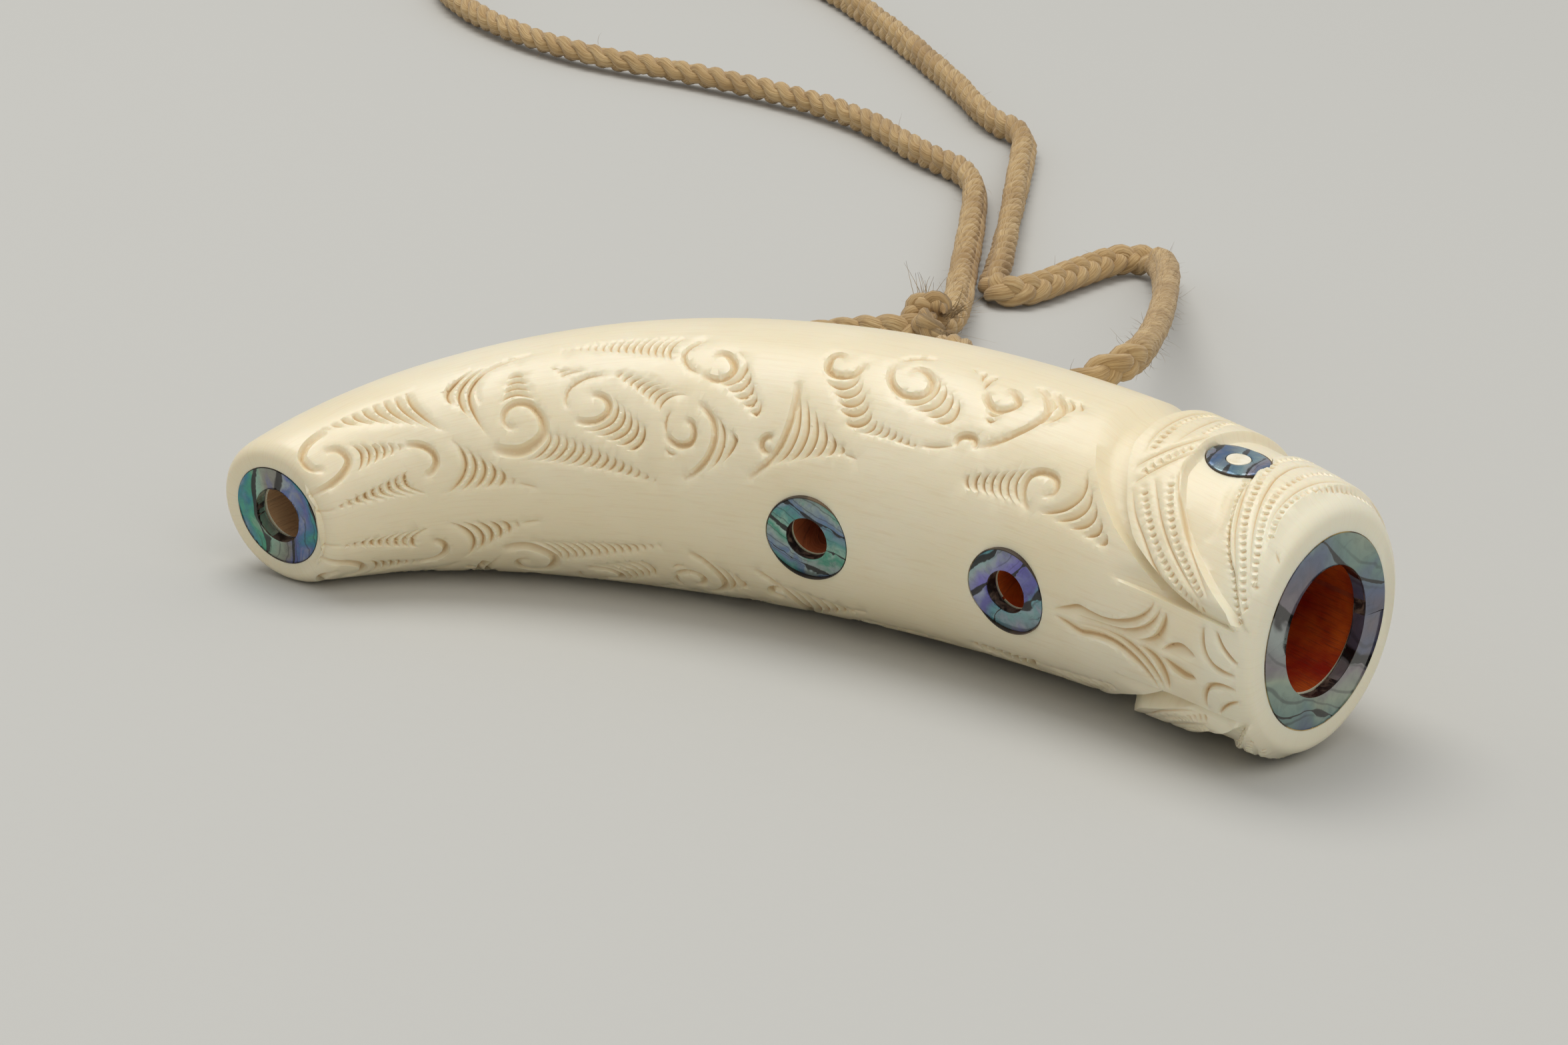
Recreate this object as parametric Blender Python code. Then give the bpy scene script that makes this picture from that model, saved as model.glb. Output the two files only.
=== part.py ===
"""A carved bone flute with shell inlays and a plaited neck cord, lying on its side.

Lengths are in metres. The flute is shaped straight first, as a blank whose stations run along the
spine and whose angles run round it: 0 faces the finger holes, 90 is the upper side, 180 the back.
The blank is bent along the spine, carved, drilled, inlaid and laid down on the floor.
"""
import math

import bmesh
import bpy
import numpy as np
from mathutils import Matrix, Vector
from mathutils.geometry import delaunay_2d_cdt

MM = 0.001

# Body
SPINE_LENGTH = 160.5 * MM
HEADINGS = (79.6, 43.3, 20.2, 3.8, -7.6, -15.9)  # degrees in plan, at equal steps along the spine
TIP_RADIUS = 10.1 * MM
BODY_SHARES = (1.0, 1.442, 1.783, 1.926, 1.935, 1.86, 1.70)  # of the tip's radius, at equal steps
TIP_SKEW = 9.3  # degrees from a square cut
MOUTH_SKEW = 11.8
SKEW_REACH = 12.0 * MM
TIP_ROUND_IN = 1.5 * MM
TIP_ROUND_ALONG = 2.2 * MM
MOUTH_ROUND_IN = 2.2 * MM
MOUTH_ROUND_ALONG = 4.4 * MM
REST_STATIONS = (0.012, 0.45, 0.93)  # shares of the spine where the flute touches the floor
REST_PROUD = (-0.005, -0.01, 0.089)  # of the tip's radius, how far the surface stands out there
REST_FLAT = 0.18 * MM  # depth of the small flats that it rests on

# Bore
MOUTH_BORE = 17.4 * MM
TIP_BORE = 7.8 * MM

# Shell inlays
FIT_GAP = 0.3 * MM
MOUTH_INLAY = 25.6 * MM
TIP_INLAY = 13.6 * MM
RING_THICK = 1.6 * MM
FINGER_INLAY = 11.5 * MM
FINGER_BORE = 6.0 * MM
FINGER_THICK = 1.8 * MM
FINGER_STATIONS = (0.5296, 0.752)  # shares of the spine
EYE_LONG = 8.6 * MM
EYE_SHORT = 7.2 * MM
EYE_THICK = 1.3 * MM
PUPIL = 3.2 * MM
EYE_STATION = 0.8985  # share of the spine
EYE_ANGLE = 94.0

# Cord and the curved tunnel that it is threaded through, on the upper back
CORD = 5.3 * MM
TUNNEL_BORE = 7.6 * MM
TUNNEL_STATION = 0.6106  # share of the spine
TUNNEL_ANGLE = 154.0
TUNNEL_LEAN = 10.0  # degrees that the tunnel is turned, with its mouth end towards the front
TUNNEL_BEND = 9.0 * MM
TUNNEL_RISE = 3.6 * MM  # from the surface out to the middle of the tunnel's bend
TUNNEL_TURN = 50.0  # degrees of the bend that the cord follows on each side of the middle
TUNNEL_ROWS = 9
TUNNEL_SIDES = 12
CORD_POINTS = 76
BEND_WEIGHT = 16.0 * MM  # of cord length for each radian that it turns, to share out its points
CORD_GAP = 0.6 * MM  # between the ends that meet inside the tunnel
# Places along the cord behind the flute: x and y from the tunnel and height over the floor, in mm.
# None is a height that rests the cord on the floor.
CORD_ROUTE = (
    (9.5, 0.0, 33.6), (11.8, 2.4, 35.5), (12.8, 6.2, 36.1), (10.8, 11.4, 35.4), (-1.5, 34.9, 30.0),
    (-28.2, 82.2, 19.0), (-53.4, 124.1, 9.0), (-66.6, 144.4, 4.4), (-72.0, 150.2, None),
    (-77.2, 146.6, None), (-76.4, 122.8, None), (-78.2, 116.6, None), (-82.2, 117.4, None),
    (-87.2, 127.5, None), (-120.5, 184.0, None), (-131.5, 202.0, None), (-141.0, 204.5, None),
    (-160.3, 222.3, None), (-207.7, 258.6, None), (-237.0, 275.0, None), (-275.0, 264.0, None),
    (-285.0, 226.0, None), (-263.0, 200.0, None), (-225.0, 186.5, None), (-192.1, 193.0, None),
    (-160.0, 190.5, None), (-137.6, 177.2, None), (-122.0, 172.0, None), (-107.9, 150.8, None),
    (-88.0, 118.0, 3.0), (-75.2, 97.7, 5.3), (-68.5, 84.5, 5.9), (-73.0, 78.0, 5.9),
    (-84.3, 76.8, 3.1), (-90.0, 63.0, None), (-81.0, 47.5, 2.9), (-59.8, 31.8, 9.0),
    (-36.3, 17.8, 20.0), (-18.5, 8.6, 29.8), (-13.3, 5.0, 31.4), (-9.8, 2.1, 30.6),
)
KNOT_RADIUS = 5.6 * MM
KNOT_LENGTH = 12.0 * MM
KNOT_BACK = 148.5 * MM  # along the cord from the middle of the tunnel
KNOT_GAP = 0.6 * MM
KNOT_SEGMENTS = 12
KNOT_ROWS = 6

# Heights and depths of the carving
NECK_DEPTH = 1.3 * MM
BROW_HEIGHT = 0.95 * MM
LIP_HEIGHT = 0.6 * MM
CHEEK_DEPTH = 0.25 * MM
BAND_GROOVE = 0.5 * MM
SCROLL_DEPTH = 0.65 * MM
SCROLL_WIDTH = 1.7 * MM
GROOVE_DEPTH = 0.5 * MM
GROOVE_WIDTH = 1.3 * MM
CUT_LEAN = 0.15 * MM  # slant of a cut's steep wall
RAMP_SHARE = 0.8  # of the space between two scale cuts
CUT_POINTS = 4
CLEAR_OF_CUTS = 1.6  # millimetres of the chart that the blank's own points keep from the cuts

# Shape of the blank's mesh
BLANK_SEGMENTS = 32
BODY_ROWS = 16
TIP_ROWS = 4
MOUTH_ROWS = 3
BORE_SEGMENTS = 15
BORE_ROWS = 12
TUBE_PHASE = 0.37  # of a segment, so that no edge of the bore meets an edge of a finger hole
FLAT = np.array([1, 0.32])  # millimetres and degrees, laid out evenly

# The carving is drawn on a chart: millimetres along a spine of this length, and degrees round it
CHART_LENGTH = 160.5
CHART_MM = SPINE_LENGTH / CHART_LENGTH

# Borders on the head: pairs of angle round the spine and chart station
NECK_START = ((25, 147.0), (30, 143.5), (40, 137.0), (50, 132.5), (60, 129.0), (72, 126.2),
              (90, 124.6), (180, 123.8))
BROW_START = ((21, 154.4), (26, 149.9), (33, 145.0), (45, 140.0), (56, 137.0), (68, 134.0),
              (82, 132.0), (180, 131.2))
BROW_END = ((24, 156.6), (31, 153.8), (41, 149.9), (57, 145.0), (76, 140.5), (92, 139.3),
            (180, 139.0))
LIP_START = ((24, 156.9), (30, 155.9), (40, 155.1), (52, 153.9), (62, 152.6), (75, 150.9),
             (88, 149.5), (102, 148.7), (180, 148.3))
COLLAR_START = 157.6
NOSE_EDGE = 21.5  # degrees
WALL = 1.3  # chart width of the steps between the head's levels

# Each cut follows a few chart places, (millimetres along the spine, degrees round it)
KORU_EDGES = (
    ((5.3, 60.5), (7.6, 57.5), (7.8, 46), (5.6, 39.5), (1.5, 36.5)),
    ((17.2, 44.5), (20.4, 41), (21.4, 31), (19.2, 24.8)),
    ((35.4, 42.8), (33.4, 46), (34.8, 54), (38.5, 51.5), (39.6, 42), (36.6, 33), (31, 33.6)),
    ((47.2, 53.5), (49.8, 51), (49.6, 43), (44.9, 42.3)),
    ((60.2, 46.5), (65, 47.5), (68.2, 37), (67, 26.5), (63.3, 18.3)),
    ((62.4, 41.2), (64.1, 36), (60.3, 33)),
    ((64.9, 74), (68.4, 73.5), (68.6, 65), (64.6, 61.6)),
    ((79, 63), (80.3, 50), (78.8, 34), (74.8, 21.3)),
    ((84.1, 78.5), (82, 75.5), (83.4, 69.8), (87, 73), (86.6, 83)),
    ((94.6, 79.5), (98, 79), (97.6, 71.5), (94, 69.5), (91.8, 75)),
    ((109, 81), (107, 76.5), (109.9, 70.3), (111.8, 76)),
    ((111.2, 88), (115.6, 78), (114.4, 64), (109.3, 54)),
    ((119.3, 53.5), (122.6, 54.3), (124.6, 48.5), (122.6, 44.5)),
)
# Rows of scales: first cut, last cut, how many
SCALE_ROWS = (
    (((7, 80), (7.2, 78), (7.8, 76)), ((20, 79), (20.3, 64), (23.2, 47.5)), 4),
    (((8.8, 58.5), (10, 49), (8.2, 38)), ((16, 47), (16.5, 44.5), (16, 42)), 3),
    (((17.6, 30.5), (16.1, 23), (19.8, 14)), ((5, 20.5), (4.4, 19), (5, 17)), 4),
    (((24.6, 40), (26.2, 29), (22.3, 12.6)), ((32.5, 18), (33, 15.5), (32.3, 13)), 3),
    (((32.9, 51), (35.9, 58), (38.6, 53.5)), ((34.6, 67), (35.9, 69), (37.2, 67)), 2),
    (((41, 39), (40.6, 28.5), (35, 25.5)), ((56, 17.5), (56.6, 16.5), (56, 15)), 7),
    (((50.5, 53.5), (52, 44), (46.6, 36.8)), ((56.3, 42), (56.3, 33), (53.6, 28.2)), 3),
    (((68.4, 43.5), (70.2, 36), (67.2, 22.8)), ((71.2, 39), (72.2, 35.5), (70.8, 30.5)), 2),
    (((50, 83), (50.6, 80), (51.4, 77.5)), ((61.5, 84), (60.4, 76), (63.6, 63.6)), 5),
    (((51, 64), (51.6, 63), (51.4, 62)), ((60.3, 53.5), (62.3, 51), (62.6, 47.5)), 3),
    (((67.8, 77.5), (71, 68), (66.6, 59)), ((74.8, 58), (75, 52), (72.6, 48)), 3),
    (((80.6, 56), (82.4, 42), (79.2, 26.5)), ((88, 39), (88.6, 36.5), (88, 34.5)), 4),
    (((82.3, 66.5), (84.4, 63.5), (87.8, 67.5)), ((92.5, 50.5), (93.6, 50), (94.4, 52)), 5),
    (((97.6, 84), (101, 73), (96.6, 63.5)), ((104, 69), (105, 63), (101.8, 58)), 3),
    (((113.6, 88), (117.4, 79), (115.9, 70.5)), ((118.6, 87), (119.8, 84), (119.6, 81)), 2),
    (((121, 50.8), (119.8, 43), (123.3, 35.5)), ((112.6, 43), (112.1, 40), (112.8, 37.3)), 4),
    (((126.9, 59.5), (128.8, 48), (124, 35.8)), ((134.6, 38.5), (135.8, 35), (134.3, 33)), 3),
)
NOSE_GROOVES = (
    ((129.3, 0.8), (133.8, 6), (138.5, 4.8), (143.8, 10), (146.8, 19.5)),
    ((144.2, 0.5), (147.6, 7), (149, 17.5)),
    ((149, 1), (150.5, 5), (152.6, 7.3), (155.4, 4.2)),
    ((157.5, 17.5), (158.6, 6.5), (160, 1)),
)
MIRROR_LINE = ((0, 3.5), (35, 3.5), (55, 1), (85, 0), (125, -1), (CHART_LENGTH, -1))


def along(values, share):
    """Smooth curve through equally spaced values, read at a share from 0 to 1."""
    knots = np.asarray(values, float)
    slopes = np.gradient(knots, edge_order=2)
    place = np.clip(np.asarray(share, float), 0, 1) * (len(knots) - 1)
    low = np.minimum(place.astype(int), len(knots) - 2)
    t = place - low
    blend = t * t * (3 - 2 * t)
    bow = slopes[low] * t * (1 - t) ** 2 - slopes[low + 1] * t * t * (1 - t)
    return knots[low] * (1 - blend) + knots[low + 1] * blend + bow


def step(x, start, width):
    """Rise smoothly from 0 at the start to 1 a width further on."""
    t = np.clip((x - start) / width, 0, 1)
    return t * t * (3 - 2 * t)


def border(pairs, angle):
    """Chart station of a border at an angle from 0 to 180."""
    angles, stations = zip(*pairs)
    return np.interp(angle, angles, stations)


def spine_table(count=400):
    """Stations along the spine with their places and headings in plan."""
    share = np.linspace(0, 1, count + 1)
    heading = np.radians(along(HEADINGS, share))
    pace = SPINE_LENGTH / count
    x = np.concatenate([[0], np.cumsum((np.cos(heading[1:]) + np.cos(heading[:-1])) / 2)]) * pace
    y = np.concatenate([[0], np.cumsum((np.sin(heading[1:]) + np.sin(heading[:-1])) / 2)]) * pace
    return share * SPINE_LENGTH, x, y, heading


SPINE = spine_table()


def spine_at(station):
    """Place and heading of the spine, running on straight past its ends."""
    stations, xs, ys, headings = SPINE
    inside = np.clip(station, 0, SPINE_LENGTH)
    beyond = station - inside
    heading = np.interp(inside, stations, headings)
    x = np.interp(inside, stations, xs) + beyond * np.cos(heading)
    y = np.interp(inside, stations, ys) + beyond * np.sin(heading)
    return x, y, heading


def bend(station, angle, radius):
    """Points of the bent flute for stations, angles in radians and radii, with the spine level."""
    x, y, heading = spine_at(station)
    front = radius * np.cos(angle)
    return np.stack([x + front * np.sin(heading), y - front * np.cos(heading),
                     radius * np.sin(angle)], axis=-1)


def end_slant(station):
    """Tangent of the slant at a station: the two ends aren't cut square."""
    mouth = step(station, SPINE_LENGTH - SKEW_REACH, SKEW_REACH) * math.tan(math.radians(MOUTH_SKEW))
    tip = (1 - step(station, 0, SKEW_REACH)) * math.tan(math.radians(TIP_SKEW))
    return mouth + tip


def body_radius(station):
    return TIP_RADIUS * along(BODY_SHARES, station / SPINE_LENGTH)


def rounding(station):
    """How far the rounded rims draw in."""
    drawn = 0
    for reach, inward, length in ((station, TIP_ROUND_IN, TIP_ROUND_ALONG),
                                  (SPINE_LENGTH - station, MOUTH_ROUND_IN, MOUTH_ROUND_ALONG)):
        share = 1 - np.clip(reach / length, 0, 1)
        drawn = drawn + inward * (1 - np.sqrt(np.maximum(1 - share ** 2, 0)))
    return drawn


def bore_radius(station):
    return (TIP_BORE + (MOUTH_BORE - TIP_BORE) * station / SPINE_LENGTH) / 2


def head_relief(chart, degrees):
    """Height of the neck hollow, brow bands, cheeks and lips over the plain body."""
    side = np.abs(degrees)
    neck, brow = border(NECK_START, side), border(BROW_START, side)
    cheek, lip = border(BROW_END, side), border(LIP_START, side)
    height = -NECK_DEPTH * step(chart, neck, 0.7 * (brow - neck))
    height += (NECK_DEPTH + BROW_HEIGHT) * step(chart, brow - WALL / 2, WALL)
    height -= (BROW_HEIGHT + CHEEK_DEPTH) * step(chart, cheek - WALL / 2, WALL)
    height += (CHEEK_DEPTH + LIP_HEIGHT) * step(chart, lip, WALL)
    height -= LIP_HEIGHT * step(chart, COLLAR_START - WALL / 2, WALL)
    for low, high, grooves in ((brow, cheek, (0.5,)), (lip, COLLAR_START + 0 * lip, (0.45, 0.75))):
        share = (chart - low) / (high - low)
        for groove in grooves:
            height -= BAND_GROOVE * np.clip(1 - np.abs(share - groove) / 0.14, 0, 1)
    return height * step(side, NOSE_EDGE, 4)


def outer_surface(blank_station, angle):
    """Station and radius of the outside for stations and angles on the blank."""
    plain = body_radius(blank_station) - rounding(blank_station)
    height = head_relief(blank_station / CHART_MM, np.degrees(angle))
    return blank_station + plain * np.cos(angle) * end_slant(blank_station), plain + height


def row_stations(degrees):
    """Chart stations of the blank's rows at an angle: the head's rows follow its borders."""
    side = abs(degrees)
    neck, brow = float(border(NECK_START, side)), float(border(BROW_START, side))
    cheek, lip = float(border(BROW_END, side)), float(border(LIP_START, side))
    tip_rim = [TIP_ROUND_ALONG / CHART_MM * share for share in (0, 0.12, 0.45, 1)]
    rim = MOUTH_ROUND_ALONG / CHART_MM
    body = [tip_rim[-1] + (neck - tip_rim[-1]) * row / BODY_ROWS for row in range(1, BODY_ROWS)]
    shares = (0.36, 0.5, 0.64)
    brows = [brow + (cheek - brow) * share for share in shares]
    lips = [lip + (COLLAR_START - lip) * share for share in (0.45, 0.6, 0.75)]
    head = [neck, neck + 0.3 * (brow - neck), neck + 0.7 * (brow - neck), brow - WALL / 2,
            brow + WALL / 2, *brows, cheek - WALL / 2, cheek + WALL / 2, (cheek + lip) / 2, lip,
            lip + (COLLAR_START - lip) * 0.25, *lips, COLLAR_START - WALL / 2]
    mouth_rim = [CHART_LENGTH - rim * share for share in (0.45, 0.12, 0)]
    rows = np.array(tip_rim + body + head + mouth_rim)
    return np.maximum.accumulate(rows + np.arange(len(rows)) * 1e-3)


def flat_scale(chart_station):
    """Chart distances in millimetres for a millimetre along and a degree round."""
    return np.array([1, math.radians(float(body_radius(chart_station * CHART_MM))) / CHART_MM])


def smooth_path(places, count):
    """Evenly spaced points of a smooth curve through chart places."""
    share = np.linspace(0, 1, 40)
    fine = np.stack([along(column, share) for column in zip(*places)], axis=1)
    pace = np.hypot(*(np.diff(fine, axis=0) * flat_scale(fine[0, 0])).T)
    length = np.concatenate([[0], np.cumsum(pace)])
    even = np.linspace(0, length[-1], count)
    return np.stack([np.interp(even, length, column) for column in fine.T], axis=1)


def mirrored(path):
    """The same path on the other side of the carving's centre line."""
    stations, lines = zip(*MIRROR_LINE)
    centre = np.interp(path[:, 0], stations, lines)
    return np.stack([path[:, 0], 2 * centre - path[:, 1]], axis=1)


def cut_lines(path, ramp, depth, towards):
    """Chart places and depths of a tapered cut: the top and foot of its wall and its ramp's end.

    The wall stands on the path, and the ramp rises from its foot towards a chart place.
    """
    scale = flat_scale(path[len(path) // 2, 0])
    flat = path * scale
    run = np.gradient(flat, axis=0)
    side = np.stack([-run[:, 1], run[:, 0]], axis=1) / np.hypot(*run.T)[:, None]
    if np.sum(side * (towards * scale - flat)) < 0:
        side = -side
    taper = np.sin(np.pi * np.linspace(0, 1, len(path)))[:, None] ** 0.5
    foot = (flat + side * CUT_LEAN / CHART_MM) / scale
    end = (flat + side * (CUT_LEAN / CHART_MM + ramp * taper)) / scale
    inner = slice(1, -1)
    return [(path, 0 * taper), (np.vstack([path[:1], foot[inner], path[-1:]]), depth * taper),
            (np.vstack([path[:1], end[inner], path[-1:]]), 0 * taper)]


def carving_lines():
    """Every line of the carving's edges, each with its chart places and depths."""
    cuts = []
    for places in KORU_EDGES:
        path = smooth_path(places, 1 + len(places))
        away = 2 * path[len(path) // 2] - path.mean(axis=0)
        cuts.append((path, SCROLL_WIDTH / CHART_MM, SCROLL_DEPTH, away))
    for first, last, count in SCALE_ROWS:
        start, end = smooth_path(first, CUT_POINTS), smooth_path(last, CUT_POINTS)
        shift = (end - start) / count
        for index in range(count):
            path = start + shift * (index + 0.2)
            following = path + shift
            space = np.hypot(*((following - path).mean(axis=0) * flat_scale(path[0, 0])))
            ramp = min(RAMP_SHARE * space, SCROLL_WIDTH / CHART_MM)
            cuts.append((path, ramp, SCROLL_DEPTH * (1 - 0.4 * index / count), following))
    lines = []
    for path, ramp, depth, towards in cuts:
        middle = towards.mean(axis=0) if towards.ndim > 1 else towards
        for route, side in ((path, middle), (mirrored(path), mirrored(middle[None])[0])):
            lines.extend(cut_lines(route, ramp, depth, side))
    for places in NOSE_GROOVES:
        path = smooth_path(places, 5)
        for route in (path, mirrored(path)):
            lines.extend(groove_lines(route))
    return lines


def groove_lines(path):
    """Chart places and depths of a groove with two ramps."""
    scale = flat_scale(path[0, 0])
    flat = path * scale
    run = np.gradient(flat, axis=0)
    side = np.stack([-run[:, 1], run[:, 0]], axis=1) / np.hypot(*run.T)[:, None]
    taper = np.sin(np.pi * np.linspace(0, 1, len(path)))[:, None] ** 0.5
    reach = side * taper * GROOVE_WIDTH / CHART_MM / 2
    return [((flat + reach) / scale, 0 * taper), (path, GROOVE_DEPTH * taper),
            ((flat - reach) / scale, 0 * taper)]


def blank_station(chart_places):
    """Stations on the blank of chart places, undoing the slant of the ends."""
    station = chart_places[:, 0] * CHART_MM
    angle = np.radians(chart_places[:, 1])
    blank = station
    for _ in range(8):
        blank = station - (body_radius(blank) - rounding(blank)) * np.cos(angle) * end_slant(blank)
    return blank


def carved_body():
    """The carved outside with flat ends, as a closed mesh in the level frame."""
    points, depths, edges = [], [], []

    def add_line(places, line_depths, joined=True):
        first = len(points)
        points.extend(places)
        depths.extend(line_depths)
        if joined:
            edges.extend((first + i, first + i + 1) for i in range(len(places) - 1))

    for places, line_depths in carving_lines():
        blank = blank_station(places) / CHART_MM
        add_line(np.stack([blank, places[:, 1]], axis=1), line_depths[:, 0])
    cuts = np.array(points) * FLAT
    columns = np.linspace(-180, 180, BLANK_SEGMENTS + 1)
    stations = np.array([row_stations(column) for column in columns])
    first_head = TIP_ROWS + BODY_ROWS - 1
    last_head = stations.shape[1] - MOUTH_ROWS
    for row in range(stations.shape[1]):
        places = np.stack([stations[:, row], columns], axis=1)
        head = first_head <= row < last_head
        if head:
            for side in (columns <= -NOSE_EDGE, columns >= NOSE_EDGE):
                add_line(places[side], [0.0] * int(side.sum()))
        elif row < TIP_ROWS or row >= last_head:
            add_line(places, [0.0] * len(places))
        else:
            for place in places:
                clear = np.hypot(*(cuts - place * FLAT).T).min() > CLEAR_OF_CUTS
                if clear or abs(place[1]) > 179:
                    add_line([place], [0.0], joined=False)
    for station in np.arange(stations[0, 0] + 128, CHART_LENGTH - 5, 5.0):
        for column in columns[np.abs(columns) < NOSE_EDGE]:
            place = np.array([station, column])
            if np.hypot(*(cuts - place * FLAT).T).min() > CLEAR_OF_CUTS:
                add_line([place], [0.0], joined=False)
    flat = [Vector(place * FLAT) for place in points]
    found, _, faces, origins, _, _ = delaunay_2d_cdt(flat, edges, [], 0, 1e-4)
    found = np.array([tuple(place) for place in found]) / FLAT
    kept = np.array([max((depths[i] for i in origin), default=0) for origin in origins])
    angle = np.radians(found[:, 1])
    station, radius = outer_surface(found[:, 0] * CHART_MM, angle)
    corners = bend(station, angle, radius - kept)
    bm = bmesh.new()
    verts = [bm.verts.new(corner) for corner in corners]
    for face in faces:
        bm.faces.new([verts[i] for i in face])
    bmesh.ops.remove_doubles(bm, verts=bm.verts, dist=0.00006)
    for vert in {vert for edge in bm.edges if edge.is_boundary for vert in edge.verts}:
        frame = min(end_frames(), key=lambda end: (end.translation - vert.co).length)
        local = frame.inverted() @ vert.co
        vert.co = frame @ Vector((local.x, local.y, 0))
    bmesh.ops.holes_fill(bm, edges=[edge for edge in bm.edges if edge.is_boundary], sides=0)
    bmesh.ops.recalc_face_normals(bm, faces=bm.faces)
    return bm


def swept(rings):
    """Closed tube through rings of points: a straight one is extruded, then its corners are set."""
    count = len(rings[0])
    bm = bmesh.new()
    bmesh.ops.create_circle(bm, segments=count, radius=1)
    bmesh.ops.spin(bm, geom=bm.edges[:], cent=(0, 0, 0), axis=(0, 0, 1), dvec=(0, 0, 1), angle=0,
                   steps=len(rings) - 1)
    for vert in bm.verts:
        place = round(math.atan2(vert.co.y, vert.co.x) / (2 * math.pi) * count) % count
        vert.co = rings[round(vert.co.z)][place]
    bmesh.ops.holes_fill(bm, edges=[edge for edge in bm.edges if edge.is_boundary], sides=0)
    bmesh.ops.recalc_face_normals(bm, faces=bm.faces)
    return bm


def bent_tube(stations, radii, segments):
    """Closed round tube along the spine, in the level frame."""
    angle = (np.arange(segments) + TUBE_PHASE) * 2 * np.pi / segments
    return swept([bend(np.full(segments, station), angle, radius)
                  for station, radius in zip(stations, radii)])


def plain_body():
    """The outside without its carving, to trim the inlays flush."""
    stations = np.linspace(0, SPINE_LENGTH, 36)
    return bent_tube(stations, body_radius(stations), 48)


def end_frame(station, slant):
    """Placing matrix at an end of the spine: local Z runs along the spine, turned by the slant."""
    x, y, heading = spine_at(station)
    turn = heading + math.radians(slant)
    out = Vector((math.cos(turn), math.sin(turn), 0))
    return placing((x, y, 0), out, Vector((0, 0, 1)))


def end_frames():
    """Outward placing matrices of the mouth and of the tip."""
    tip = end_frame(0.0, TIP_SKEW) @ Matrix.Rotation(math.pi, 4, "X")
    return end_frame(SPINE_LENGTH, MOUTH_SKEW), tip


def side_frame(station, degrees, radius):
    """Placing matrix on the side: local Z points outwards and local X along the spine."""
    angle = math.radians(degrees)
    place = Vector(bend(station, angle, radius))
    out = place - Vector(bend(station, angle, 0.0))
    _, _, heading = spine_at(station)
    return placing(place, out, Vector((math.cos(heading), math.sin(heading), 0)))


def placing(place, out, first):
    out = out.normalized()
    second = out.cross(first).normalized()
    first = second.cross(out)
    matrix = Matrix((first, second, out)).transposed().to_4x4()
    matrix.translation = place
    return matrix


def disc(matrix, low, high, radius, segments, stretch=1.0):
    """Cylinder between two local heights, stretched along its local X."""
    bm = bmesh.new()
    shape = Matrix.Translation((0, 0, (low + high) / 2)) @ Matrix.Diagonal((stretch, 1, 1, 1))
    bmesh.ops.create_cone(bm, cap_ends=True, segments=segments, radius1=radius, radius2=radius,
                          depth=high - low, matrix=matrix @ shape)
    return bm


def washer(matrix, low, high, radius, hole, segments, stretch=1.0):
    """Flat ring between two local heights, its outside stretched along its local X."""
    bm = bmesh.new()
    profile = [(hole, 0, low), (radius, 0, low), (radius, 0, high), (hole, 0, high)]
    corners = [bm.verts.new(corner) for corner in profile]
    edges = [bm.edges.new((corners[i - 1], corners[i])) for i in range(4)]
    bmesh.ops.spin(bm, geom=edges, cent=(0, 0, 0), axis=(0, 0, 1), angle=2 * math.pi,
                   steps=segments, use_merge=True)
    for vert in bm.verts:
        if vert.co.xy.length > (radius + hole) / 2:
            vert.co.x *= stretch
    bm.transform(matrix)
    bmesh.ops.recalc_face_normals(bm, faces=bm.faces)
    return bm


def tunnel_frame():
    """Placing matrix at the centre of the tunnel's bend: local X runs towards its mouth end."""
    station = TUNNEL_STATION * SPINE_LENGTH
    frame = side_frame(station, TUNNEL_ANGLE, body_radius(station))
    lean = Matrix.Rotation(-math.radians(TUNNEL_LEAN), 4, "Z")
    return frame @ lean @ Matrix.Translation((0, 0, TUNNEL_RISE))


def tunnel_path(turn):
    """Place in the tunnel, with the turn from its middle towards the mouth end in radians."""
    place = Vector((TUNNEL_BEND * math.sin(turn), 0, -TUNNEL_BEND * math.cos(turn)))
    return tunnel_frame() @ place


def tunnel_tube():
    """Round cutter that follows the tunnel and stands out of both its mouths."""
    bm = bmesh.new()
    ring = Matrix.Translation((-TUNNEL_BEND, 0, 0))
    bmesh.ops.create_circle(bm, segments=TUNNEL_SIDES, radius=TUNNEL_BORE / 2, matrix=ring)
    bmesh.ops.spin(bm, geom=bm.edges[:], cent=(0, 0, 0), axis=(0, 1, 0), angle=-math.pi,
                   steps=TUNNEL_ROWS - 1)
    bmesh.ops.holes_fill(bm, edges=[edge for edge in bm.edges if edge.is_boundary], sides=0)
    bmesh.ops.recalc_face_normals(bm, faces=bm.faces)
    bm.transform(tunnel_frame())
    return bm


def rest_turn():
    """Turn that lays the level flute on three places of its underside, and the floor under it."""
    stations = np.array(REST_STATIONS) * SPINE_LENGTH
    x, y, _ = spine_at(stations)
    radii = body_radius(stations) + np.array(REST_PROUD) * TIP_RADIUS
    legs = np.array([[x[1] - x[0], y[1] - y[0]], [x[2] - x[0], y[2] - y[0]]])
    lean = np.linalg.solve(legs, radii[1:] - radii[0])
    up = Vector((lean[0], lean[1], math.sqrt(1 - lean @ lean)))
    floor = lean[0] * x[0] + lean[1] * y[0] - radii[0] + REST_FLAT
    return up.rotation_difference(Vector((0, 0, 1))).to_matrix().to_4x4(), float(floor)


def placed(body):
    """Matrix from the level frame to the floor, centred under the flute."""
    turn, floor = rest_turn()
    corners = [turn @ vert.co for vert in body.verts]
    middle = [(min(c[i] for c in corners) + max(c[i] for c in corners)) / 2 for i in (0, 1)]
    return Matrix.Translation((-middle[0], -middle[1], -floor)) @ turn


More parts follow.
